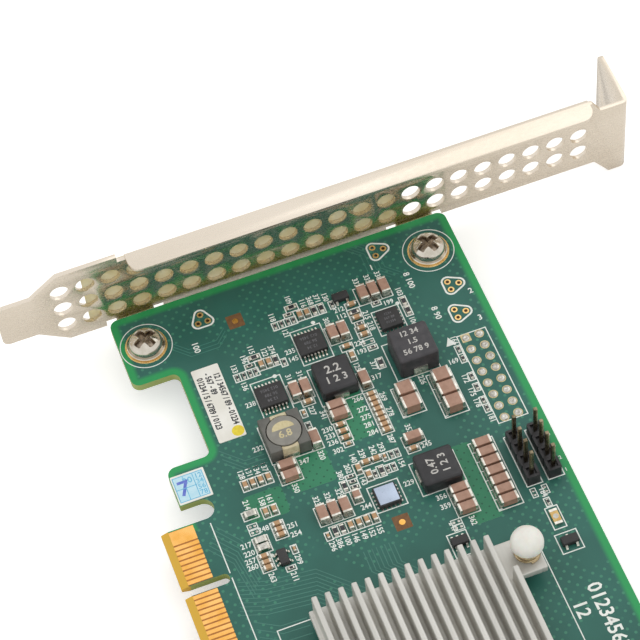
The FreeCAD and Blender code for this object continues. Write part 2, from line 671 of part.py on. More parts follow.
def spring_coil():
    """Hexagonal wire wound in straight chords up a helix."""
    radius = "(dims.spring_diameter / 2 - dims.spring_wire / 2)"
    rise = (f"(dims.spring_height - 2 * {WIRE_HALF})"
            " / (dims.spring_turns * dims.spring_chords)")
    sweep = 360 / count("spring_chords")
    sections = []
    for step in range(2):
        ring = doc.addObject("Part::RegularPolygon", "WireSection")
        ring.Polygon = 6
        ring.Placement = Placement(Vector(), Rotation(Vector(0, 0, 1), sweep * step)
                                   * Rotation(Vector(1, 0, 0), 90))
        bind(ring, Circumradius="dims.spring_wire / 2")
        angle = f"{sweep * step}deg"
        sections.append(move(ring, f"{radius} * cos({angle})", f"{radius} * sin({angle})",
                             f"{step} * {rise}"))
    chord = doc.addObject("Part::Loft", "SpringChord")
    chord.Sections = sections
    chord.Solid = True
    chord.Ruled = True
    chords = []
    for number in range(round(value("dims.spring_turns * dims.spring_chords"))):
        chords += place("spring_chord", chord, [("0", "0", sweep * number)],
                        f"{number} * {rise}")
    return fuse("SpringCoil", *chords)


# Power inductors: pressed powder blocks on plated clips, and one closed drum between two
# ferrite side plates.

def moulded(name, length, width, low, height, edge):
    """A pressed or moulded body centred on its footprint, with chamfered upper edges."""
    part = body(name)
    plan = rectangle(sketch(part, name + "_plan", "XY_Plane", low), f"-({length}) / 2",
                     f"-({width}) / 2", length, width)
    block = pad(part, plan, height, name + "_block")
    top = value(f"{low} + {height}")

    def upper(edge):
        return abs(edge.BoundBox.ZMax - top) < TOUCH

    soften("Chamfer", part, block, name + "_edges", upper, edge)
    return part


def end_clip(name, length, height):
    """A plated clip: a plate up one end of the body and a foot folded under it."""
    side = box(name + "_side", (f"{length} / 2", "-dims.clip_width / 2", "0"),
               ("dims.clip_thickness", "dims.clip_width", height))
    foot = box(name + "_foot", (f"{length} / 2 - dims.clip_reach", "-dims.clip_width / 2", "0"),
               ("dims.clip_reach", "dims.clip_width", "dims.stand_off"))
    return fuse(name, side, foot)


def both_ends(spots):
    return [(x, y, turn + half) for x, y, turn in spots for half in (0, 180)]


LOW_CHOKES = [(-29.6, 37.9, 0), (-5.5, 47.6, 90)]
TALL_CHOKES = [(-29.3, 52.4, 0)]
DRUM = [(-21.7, 25.8, 0)]


def power_inductors():
    low = moulded("LowChoke", "dims.choke_length", "dims.choke_width", "dims.stand_off",
                  "dims.choke_height - dims.stand_off", "dims.choke_edge")
    tall = moulded("TallChoke", "dims.tall_width", "dims.tall_width", "dims.stand_off",
                   "dims.tall_height - dims.stand_off", "dims.choke_edge")
    group("moulded_chokes", place("low_choke", low, LOW_CHOKES))
    group("tall_choke", place("large_choke", tall, TALL_CHOKES))
    low_clip = end_clip("LowClip", "dims.choke_length", "dims.choke_height * 0.45")
    tall_clip = end_clip("TallClip", "dims.tall_width", "dims.tall_height * 0.4")
    group("choke_clips", place("low_clip", low_clip, both_ends(LOW_CHOKES)),
          place("tall_clip", tall_clip, both_ends(TALL_CHOKES)))


def drum_inductor():
    reach = "dims.drum_width / 2"
    rise = "dims.drum_height - dims.stand_off"
    bore = cylinder("DrumBore", ("0", "0", "0"), "Z", "dims.drum_disc + 2 * dims.drum_gap",
                    "dims.drum_height")
    mouth = "(dims.drum_disc / 2)"
    plate = box("DrumPlate", (f"-{reach}", f"{mouth} / 2", "dims.stand_off"),
                ("dims.drum_width", f"{reach} - {mouth} / 2", rise))
    shield = cut("DrumShield", plate, bore)
    filler = box("DrumFiller", (f"{mouth} * 0.9", f"-{mouth} / 2", "dims.stand_off"),
                 (f"{reach} - {mouth} * 0.9", mouth, f"{rise} - dims.drum_gap"))
    epoxy = cut("DrumEpoxy", filler, bore)
    core = cylinder("DrumCore", ("0", "0", "dims.stand_off"), "Z", "dims.drum_disc", rise)
    group("drum_shields", place("drum_plate", shield, both_ends(DRUM)))
    group("drum_epoxy", place("drum_filler", epoxy, both_ends(DRUM)))
    group("drum_core", place("drum_ferrite", core, DRUM))
    clip = end_clip("DrumClip", "dims.drum_width", "dims.drum_height * 0.4")
    base = box("DrumBase", (f"-{mouth}", f"-{mouth} / 2", "0"),
               (f"2 * {mouth}", mouth, "dims.stand_off"))
    group("drum_clips", place("drum_clip", clip, both_ends(DRUM)),
          place("drum_base", base, DRUM))


# Integrated circuits: moulded bodies on gull-wing leads, leadless packages with side pads
# and the small signal packages.

DRIVERS = [(-38.6, 36.6, 0), (-30.9, 26.5, 0)]
QUADS = [(-38.2, 51.3, 0)]
POWER_STAGE = [(-4.5, 37.95, 0)]
FIVE_LEADS = [(-46.0, 44.9, 0), (0.1, 17.7, 90)]
SIX_LEADS = [(8.4, 46.0, 0)]
THREE_LEADS = [(15.1, 62.95, 0)]
FLASH = [("dims.board_length - dims.key_to_front - 35.5", 56.0, 0)]


def gull_wing(name, length, span, middle, width):
    """One lead: out of the body, down, and along the board."""
    lead = body(name)
    root = f"{length} / 2"
    reach = f"({span} - {length}) / 2"
    heel = f"{root} + 0.5 * {reach}"
    thick = "dims.lead_thickness"
    profile = polygon(sketch(lead, name + "_profile", "XZ_Plane"), [
        (root, middle), (heel, "0"), (f"{span} / 2", "0"), (f"{span} / 2", thick),
        (f"{heel} + {thick}", thick), (f"{heel} - {thick}", f"{middle} + {thick}"),
        (root, f"{middle} + {thick}")])
    pad(lead, profile, width, name + "_strip", both=True)
    return lead


def lead_spots(chips, pitch, right, left):
    """Where the leads stand, from the lead counts on the two sides of each package."""
    spots = []
    for x, y, turn in chips:
        for numbers, half in ((right, 0), (left, 180)):
            for step in numbers:
                along = f"{step} * {pitch}"
                shift = (f"{x} + {along}", y) if turn else (x, f"{y} + {along}")
                spots.append((*shift, turn + half))
    return spots


def integrated_circuits():
    middle = "(dims.tssop_height * 0.5)"
    driver = moulded("DriverCase", "dims.tssop_length", "dims.tssop_width", "dims.stand_off",
                     "dims.tssop_height", "dims.stand_off")
    group("driver_chips", place("driver_case", driver, DRIVERS))
    lead = gull_wing("DriverLead", "dims.tssop_length", "dims.tssop_span", middle,
                     "dims.lead_width")
    seven = [number - 3 for number in range(7)]
    group("driver_leads",
          place("driver_lead", lead, lead_spots(DRIVERS, "dims.tssop_pitch", seven, seven)))
    quad = moulded("QuadCase", "dims.quad_width", "dims.quad_width", "0", "dims.quad_height",
                   "dims.stand_off")
    group("quad_chips", place("quad_case", quad, QUADS + POWER_STAGE))
    lid = box("StageLid", ("-dims.quad_lid / 2", "-dims.quad_lid / 2", "dims.quad_height"),
              ("dims.quad_lid", "dims.quad_lid", "dims.stand_off"))
    group("power_stage_lid", place("stage_lid", lid, POWER_STAGE))
    small = moulded("SmallCase", "dims.sot_length", "dims.sot_width", "dims.stand_off",
                    "dims.sot_height", "dims.stand_off")
    group("small_chips", place("small_case", small, FIVE_LEADS + SIX_LEADS + THREE_LEADS))
    short = gull_wing("SmallLead", "dims.sot_length", "dims.sot_span",
                      "(dims.sot_height * 0.5)", "dims.sot_lead")
    outer = [-1, 1]
    full = [-1, 0, 1]
    pitch = "dims.sot_pitch"
    group("small_leads",
          place("five_lead", short, lead_spots(FIVE_LEADS, pitch, outer, full)),
          place("six_lead", short, lead_spots(SIX_LEADS, pitch, full, full)),
          place("three_lead", short, lead_spots(THREE_LEADS, pitch, outer, [0])))
    flash = moulded("FlashCase", "dims.flash_length", "dims.flash_width", "dims.stand_off",
                    "dims.flash_height", "dims.stand_off")
    group("memory_chip", place("flash_case", flash, FLASH))
    wing = gull_wing("FlashLead", "dims.flash_length", "dims.flash_span",
                     "(dims.flash_height * 0.5)", "dims.sot_lead")
    four = [number - 1.5 for number in range(4)]
    group("memory_leads", place("flash_lead", wing, lead_spots(FLASH, "dims.flash_pitch",
                                                               four, four)))
    can = moulded("CrystalCan", "dims.crystal_length", "dims.crystal_width", "0",
                  "dims.crystal_height", "dims.stand_off")
    group("crystal", place("crystal_can", can, [(f"{FAR} - 37.0", 14.0, 0)]))


# Chip components. Each list holds footprint centres from the slot's datum: those in the
# first list of a pair lie along the card and those in the second across it.

LARGE_ALONG = [(-39.0, 40.9), (-39.0, 42.8), (-30.2, 30.65), (-30.2, 32.6), (-27.9, 42.65),
               (-19.7, 30.5), (-5.1, 26.6), (-5.1, 28.6), (-5.1, 30.65), (-45.0, 48.8),
               (-45.0, 50.75), (-45.0, 52.8)]
LARGE_ACROSS = [(-24.6, 36.2), (-22.7, 36.2), (-16.5, 24.2), (-14.3, 24.2), (-13.5, 46.2),
                (-0.9, 49.6), (1.0, 49.6), (2.95, 49.6)]
LARGE_ROW = [(f"-7.85 + {number} * dims.large_pitch", 56.6) for number in range(7)]
WIDE_ACROSS = [(-22.7, 48.3), (-19.7, 48.3), (-22.9, 55.1), (-19.95, 55.1), (-17.0, 55.1)]
MEDIUM_ALONG = [(-6.4, 33.2)]
MID_ALONG = [(-45.3, 36.9), (-45.3, 38.25), (-38.0, 27.1), (-38.0, 28.5), (-33.6, 42.5),
             (-15.7, 16.4), (-15.7, 17.75), (-15.7, 19.2), (-15.7, 20.6), (-11.5, 35.4),
             (-9.6, 36.6), (-1.5, 30.3), (-1.5, 31.75), (-1.5, 33.15), (-1.5, 34.6),
             (-9.4, 17.9), (-9.4, 19.4)]
MID_ACROSS = [(-43.9, 46.2), (-40.9, 46.1), (-38.4, 46.1), (-37.0, 46.1), (-35.8, 42.3),
              (-27.5, 32.1), (-20.9, 35.6), (-19.5, 35.6), (-18.1, 35.6), (-12.2, 37.0),
              (-12.2, 38.9), (-11.6, 45.5), (-6.5, 18.9), (-5.35, 18.9), (-4.25, 18.9),
              (-1.4, 14.8), (-0.2, 14.8), (0.9, 14.8)]
MID_ROW = [(f"-24.75 + {number} * dims.mid_pitch", 42.7) for number in range(8)]
TINY_ALONG = [(-25.6, 30.6), (-12.0, 40.4), (-1.05, 26.1), (-0.9, 20.0)]
TINY_ACROSS = [(-16.8, 35.6)]
FLAT_ALONG = [(-45.3, 39.6), (-45.3, 40.95), (-38.0, 29.75), (-30.3, 46.6), (-9.1, 32.0),
              (-9.6, 38.9), (-1.5, 27.5), (-1.5, 28.8), (-41.0, 55.05), (-38.9, 55.05)]
FLAT_ACROSS = [(-47.5, 36.1), (-42.2, 46.1), (-39.9, 26.4)]
SMALL_FLAT_ALONG = [(-44.8, 32.1), (-44.8, 33.3), (-44.8, 34.5), (-44.8, 35.5), (-45.3, 43.0),
                    (-37.0, 22.3), (-37.0, 23.5), (-37.0, 24.65), (-37.0, 25.7),
                    (-37.0, 31.0), (-22.9, 30.5), (-12.0, 41.6), (-12.0, 42.6),
                    (-9.4, 37.7), (-9.6, 40.0), (-9.6, 41.1), (-27.7, 60.2), (-25.6, 60.2),
                    (-21.6, 60.2), (-19.2, 60.2), (-16.2, 60.2), (-14.5, 60.2),
                    (6.75, 62.55)]
SMALL_FLAT_ACROSS = [(-46.2, 35.1), (-39.5, 46.1), (-33.9, 46.5), (-38.5, 25.1),
                     (-42.5, 50.4), (-10.5, 33.6), (-9.4, 33.6), (-8.3, 33.6), (2.3, 18.3)]
FUSES = [(-9.95, 15.3), (-4.5, 15.3), (-3.0, 15.3)]


def turned(along, across):
    return [(x, y, 0) for x, y in along] + [(x, y, 90) for x, y in across]


def coupling_spots():
    """Signal-coupling capacitors in a row behind each internal port."""
    spots = []
    for port in range(count("port_count")):
        for number in range(count("coupling_count")):
            y = (f"dims.port_low + {port} * dims.port_spacing"
                 f" + ({number} - (dims.coupling_count - 1) / 2) * dims.coupling_pitch")
            spots.append((f"{PORT_BACK} - dims.coupling_gap", y))
    return spots


def chip(name, length, width, height):
    return box(name, (f"-{length} / 2", f"-{width} / 2", "0"), (length, width, height))


def chip_components():
    cases = [
        ("large", "dims.large_length", "dims.large_width", "dims.large_height",
         turned(LARGE_ALONG, LARGE_ACROSS + LARGE_ROW)),
        ("wide", "dims.large_length", "dims.wide_width", "dims.wide_height",
         turned([], WIDE_ACROSS)),
        ("medium", "dims.medium_length", "dims.medium_width", "dims.medium_width",
         turned(MEDIUM_ALONG, [])),
    ]
    rows = []
    for name, length, width, height, spots in cases:
        rows.append(place(name + "_capacitor", chip(name, length, width, height), spots))
    group("bulk_capacitors", *rows)
    mid = chip("MidChip", "dims.mid_length", "dims.mid_width", "dims.mid_height")
    tiny = chip("TinyChip", "dims.tiny_length", "dims.tiny_width", "dims.tiny_height")
    group("chip_capacitors",
          place("mid_capacitor", mid, turned(MID_ALONG + coupling_spots(),
                                             MID_ACROSS + MID_ROW)),
          place("tiny_capacitor", tiny, turned(TINY_ALONG, TINY_ACROSS)))
    flat = chip("FlatChip", "dims.mid_length", "dims.mid_width", "dims.flat_height")
    small = chip("SmallFlat", "dims.tiny_length", "dims.tiny_width", "dims.small_flat_height")
    group("chip_resistors",
          place("flat_resistor", flat, turned(FLAT_ALONG, FLAT_ACROSS)),
          place("small_resistor", small, turned(SMALL_FLAT_ALONG, SMALL_FLAT_ACROSS)))
    fuse_case = moulded("FuseCase", "dims.medium_length", "dims.medium_width", "0",
                        "dims.flat_height * 2", "dims.flat_height / 2")
    group("chip_fuses", place("fuse_case", fuse_case, turned([], FUSES)))
    lamp = moulded("LampCase", "dims.led_length - 2 * dims.led_lens", "dims.led_width", "0",
                   "dims.led_height", "dims.stand_off")
    spot = [("dims.header_front + dims.header_pins * dims.header_pitch + dims.led_right",
             "dims.board_height - dims.led_low", 0)]
    group("indicator_lamp", place("lamp_case", lamp, spot))
    terminal = box("LampEnd", ("dims.led_length / 2 - dims.led_lens", "-dims.led_width / 2",
                               "0"), ("dims.led_lens", "dims.led_width", "dims.led_height"))
    group("lamp_ends", place("lamp_end", terminal, both_ends(spot)))


# Pin headers: octagonal cells in one strip, each with a square recess round its pin.

def pin_headers():
    strip = body("HeaderStrip")
    cell = "dims.header_pitch"
    half = "dims.header_pitch / 2"
    notch = "dims.header_notch"
    outline = polygon(sketch(strip, "cell_outline"), [
        (notch, f"-{half}"), (f"{cell} - {notch}", f"-{half}"), (cell, f"{notch} - {half}"),
        (cell, f"{half} - {notch}"), (f"{cell} - {notch}", half), (notch, half),
        ("0", f"{half} - {notch}"), ("0", f"{notch} - {half}")])
    block = pad(strip, outline, "dims.header_height", "cell")
    bore = rectangle(sketch(strip, "pin_bore", "XY_Plane", "dims.header_height"),
                     f"{half} - dims.pin_square / 2", "-dims.pin_square / 2",
                     "dims.pin_square", "dims.pin_square")
    through = pocket(strip, bore, "pin_hole", "dims.header_height")
    well = rectangle(sketch(strip, "pin_well", "XY_Plane", "dims.header_height"),
                     f"{half} - dims.pin_square", "-dims.pin_square",
                     "2 * dims.pin_square", "2 * dims.pin_square")
    recess = pocket(strip, well, "pin_recess", "dims.pin_square")
    doc.recompute()
    cells = strip.newObject("PartDesign::LinearPattern", "cells")
    cells.Originals = [block, through, recess]
    cells.Direction = (outline, ["H_Axis"])
    bind(cells, Length="(dims.header_pins - 1) * dims.header_pitch",
         Occurrences="dims.header_pins")
    strip.Tip = cells
    rows = [("dims.header_front", y, 0) for y in HEADER_YS]
    group("pin_headers", place("header_strip", strip, rows))
    pin = box("HeaderPin", ("-dims.pin_square / 2", "-dims.pin_square / 2",
                            f"{UNDER} - dims.pin_tail"),
              ("dims.pin_square", "dims.pin_square",
               "dims.board_thickness + dims.pin_tail + dims.pin_rise"))
    group("header_pins", place("header_pin", pin, header_pin_spots()))


# Internal ports at the far end: a folded cage round a moulded housing with a card slot.

PORT_FACE = "(dims.board_length - dims.key_to_front + dims.port_overhang)"
PORT_BACK = f"({PORT_FACE} - dims.port_depth)"
PORT_INSIDE = "(dims.port_width - 2 * dims.port_wall)"
HOUSING_FACE = f"({PORT_FACE} - dims.port_cavity)"


def internal_ports():
    spots = [("0", f"dims.port_low + {number} * dims.port_spacing", 0)
             for number in range(count("port_count"))]
    cage = body("PortCage")
    shell = rectangle(sketch(cage, "cage_plan"), PORT_BACK, "-dims.port_width / 2",
                      "dims.port_depth", "dims.port_width")
    pad(cage, shell, "dims.port_height", "cage_block")
    mouth = rectangle(sketch(cage, "cage_mouth", "YZ_Plane", PORT_FACE),
                      f"-{PORT_INSIDE} / 2", "dims.port_wall", PORT_INSIDE,
                      "dims.port_height - 2 * dims.port_wall")
    pocket(cage, mouth, "cage_hollow", "dims.port_depth - dims.port_wall")
    windows = sketch(cage, "latch_windows", "XY_Plane", "dims.port_height")
    for side in ("-0.3", "0.3"):
        rectangle(windows, f"{PORT_FACE} - dims.port_latch * 1.6",
                  f"{side} * dims.port_width - dims.port_latch / 2", "dims.port_latch",
                  "dims.port_latch")
    pocket(cage, windows, "latches", "2 * dims.port_wall")
    group("port_cages", place("port_cage", cage, spots))
    housing = body("PortHousing")
    block = rectangle(sketch(housing, "housing_plan", "XY_Plane", "dims.port_wall"),
                      f"{PORT_BACK} + dims.port_wall", f"-{PORT_INSIDE} / 2",
                      f"{HOUSING_FACE} - {PORT_BACK} - dims.port_wall", PORT_INSIDE)
    pad(housing, block, "dims.port_height - 2 * dims.port_wall", "housing_block")
    middle = "dims.port_height / 2"
    slot = rectangle(sketch(housing, "card_slot", "YZ_Plane", HOUSING_FACE),
                     "-dims.port_slot_width / 2", f"{middle} - dims.port_slot_height / 2",
                     "dims.port_slot_width", "dims.port_slot_height")
    pocket(housing, slot, "card_slot_cut", "dims.port_slot_depth")
    group("port_housings", place("port_housing", housing, spots))


# Labels laid on the board.

def labels():
    asset = box("AssetLabel", ("dims.label_left", "dims.label_low", "0"),
                ("dims.label_length", "dims.label_width", "dims.label_thickness"))
    node(asset, "asset_label")
    tag = box("InspectionTag", ("dims.tag_left", "dims.board_foot + dims.label_thickness",
                                "0"),
              ("dims.tag_length", "dims.tag_width", "dims.label_thickness"))
    node(tag, "inspection_label")


circuit_board()
slot_contacts()
ground_pads()
bracket()
bracket_film()
bracket_screws()
heatsink()
controller()
spring_pins()
power_inductors()
drum_inductor()
integrated_circuits()
chip_components()
pin_headers()
internal_ports()
labels()
doc.recompute()

for item in doc.Objects:
    if "Invalid" in item.State or "Error" in item.State:
        raise RuntimeError(f"{item.Name} did not recompute")
for item in nodes:
    if item.Shape.isNull() or not item.Shape.isValid():
        raise RuntimeError(f"{item.Label} has no sound shape")

os.makedirs("parts", exist_ok=True)
for item in nodes:
    item.Shape.exportStep(f"parts/{item.Label}.step")
    print(item.Label, len(item.Shape.Solids), "solids")
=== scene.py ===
import json
import math
import bpy
import bmesh
from mathutils import Matrix, Vector

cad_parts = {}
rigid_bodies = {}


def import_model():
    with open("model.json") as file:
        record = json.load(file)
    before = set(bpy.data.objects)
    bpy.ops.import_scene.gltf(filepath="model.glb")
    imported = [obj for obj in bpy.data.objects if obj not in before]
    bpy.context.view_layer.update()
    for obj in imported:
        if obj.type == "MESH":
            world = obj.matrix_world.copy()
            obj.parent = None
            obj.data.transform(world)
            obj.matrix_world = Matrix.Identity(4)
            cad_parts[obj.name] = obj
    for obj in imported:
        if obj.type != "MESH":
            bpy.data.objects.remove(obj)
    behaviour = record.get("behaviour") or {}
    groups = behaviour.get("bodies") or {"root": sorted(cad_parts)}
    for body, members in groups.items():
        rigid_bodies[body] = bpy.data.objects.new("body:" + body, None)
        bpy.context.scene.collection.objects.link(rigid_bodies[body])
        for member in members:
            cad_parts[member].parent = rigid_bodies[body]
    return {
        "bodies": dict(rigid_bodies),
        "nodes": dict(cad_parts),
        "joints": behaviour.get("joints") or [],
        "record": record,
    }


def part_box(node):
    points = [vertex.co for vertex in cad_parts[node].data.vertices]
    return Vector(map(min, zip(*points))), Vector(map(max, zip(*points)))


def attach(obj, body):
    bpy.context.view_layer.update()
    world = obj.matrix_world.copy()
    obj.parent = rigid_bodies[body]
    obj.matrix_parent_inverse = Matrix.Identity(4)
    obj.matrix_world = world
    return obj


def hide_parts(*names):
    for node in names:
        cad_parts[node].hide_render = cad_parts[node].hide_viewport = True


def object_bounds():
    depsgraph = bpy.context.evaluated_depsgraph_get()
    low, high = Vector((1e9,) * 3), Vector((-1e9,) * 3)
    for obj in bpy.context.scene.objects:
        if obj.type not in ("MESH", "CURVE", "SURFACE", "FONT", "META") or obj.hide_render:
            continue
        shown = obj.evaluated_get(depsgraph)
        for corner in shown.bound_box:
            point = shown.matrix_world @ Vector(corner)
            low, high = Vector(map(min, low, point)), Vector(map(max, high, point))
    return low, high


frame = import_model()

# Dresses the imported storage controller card. Shapes are built in millimetres, in the card's
# own frame, and made metres when a piece is finished.
nodes = frame["nodes"]
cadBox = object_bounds()
mm = 0.001


def nodeBox(name):
    low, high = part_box(name)
    return Vector(low) / mm, Vector(high) / mm


def colour(code):
    channels = [int(code[i:i + 2], 16) / 255 for i in (1, 3, 5)]
    linear = [c / 12.92 if c <= 0.04045 else ((c + 0.055) / 1.055) ** 2.4 for c in channels]
    return (*linear, 1.0)


# Sets a node's sockets. A socket given as a value is linked, and so is a node's live output.
def setSockets(tree, node, values):
    for name, value in values.items():
        if isinstance(value, bpy.types.Node):
            value = next(output for output in value.outputs if output.enabled)
        if isinstance(value, bpy.types.NodeSocket):
            tree.links.new(value, node.inputs[name])
        else:
            node.inputs[name].default_value = value


def addNode(tree, kind, settings, sockets):
    node = tree.nodes.new("ShaderNode" + kind)
    for name, value in settings.items():
        setattr(node, name, value)
    setSockets(tree, node, sockets)
    return node


def startMaterial(name, sockets):
    material = bpy.data.materials.new(name)
    material.use_nodes = True
    tree = material.node_tree
    surface = tree.nodes["Principled BSDF"]
    setSockets(tree, surface, sockets)
    return material, tree, surface


# A surface with two tones drifting into each other, grain in its gloss and a fine relief.
# drift, grain and depth are in millimetres. Most of these surfaces have a finer grit than a
# render shows, so their grain is drawn as coarse as it needs to be seen.
def makeFinish(name, tones, metallic, roughness, drift, grain, spread=0.1, relief=0.15,
               depth=0.02, stretch=(1, 1, 1), shader=None):
    material, tree, surface = startMaterial(name, {
        "Metallic": metallic, "Roughness": roughness, **(shader or {})})
    where = addNode(tree, "TexCoord", {}, {}).outputs["Object"]
    placed = addNode(tree, "Mapping", {}, {"Vector": where, "Scale": stretch})
    clouds = addNode(tree, "TexNoise", {}, {
        "Vector": placed, "Scale": 1 / (drift * mm), "Detail": 3.0})
    grit = addNode(tree, "TexNoise", {}, {
        "Vector": placed, "Scale": 1 / (grain * mm), "Detail": 4.0})
    blend = addNode(tree, "MapRange", {}, {
        "Value": clouds, "From Min": 0.35, "From Max": 0.65})
    fine = addNode(tree, "Math", {"operation": "MULTIPLY_ADD"}, {
        0: grit, 1: 0.5, 2: -0.25})
    total = addNode(tree, "Math", {"operation": "ADD", "use_clamp": True}, {
        0: blend, 1: fine})
    first, second = tones.split()
    tint = addNode(tree, "Mix", {"data_type": "RGBA"}, {
        "Factor": total, 6: colour(first), 7: colour(second)})
    gloss = addNode(tree, "MapRange", {}, {
        "Value": grit, "From Min": 0.3, "From Max": 0.7,
        "To Min": max(0.02, roughness - spread), "To Max": min(1.0, roughness + spread)})
    bump = addNode(tree, "Bump", {}, {
        "Height": grit, "Strength": relief, "Distance": depth * mm})
    setSockets(tree, surface, {"Base Color": tint, "Roughness": gloss, "Normal": bump})
    return material


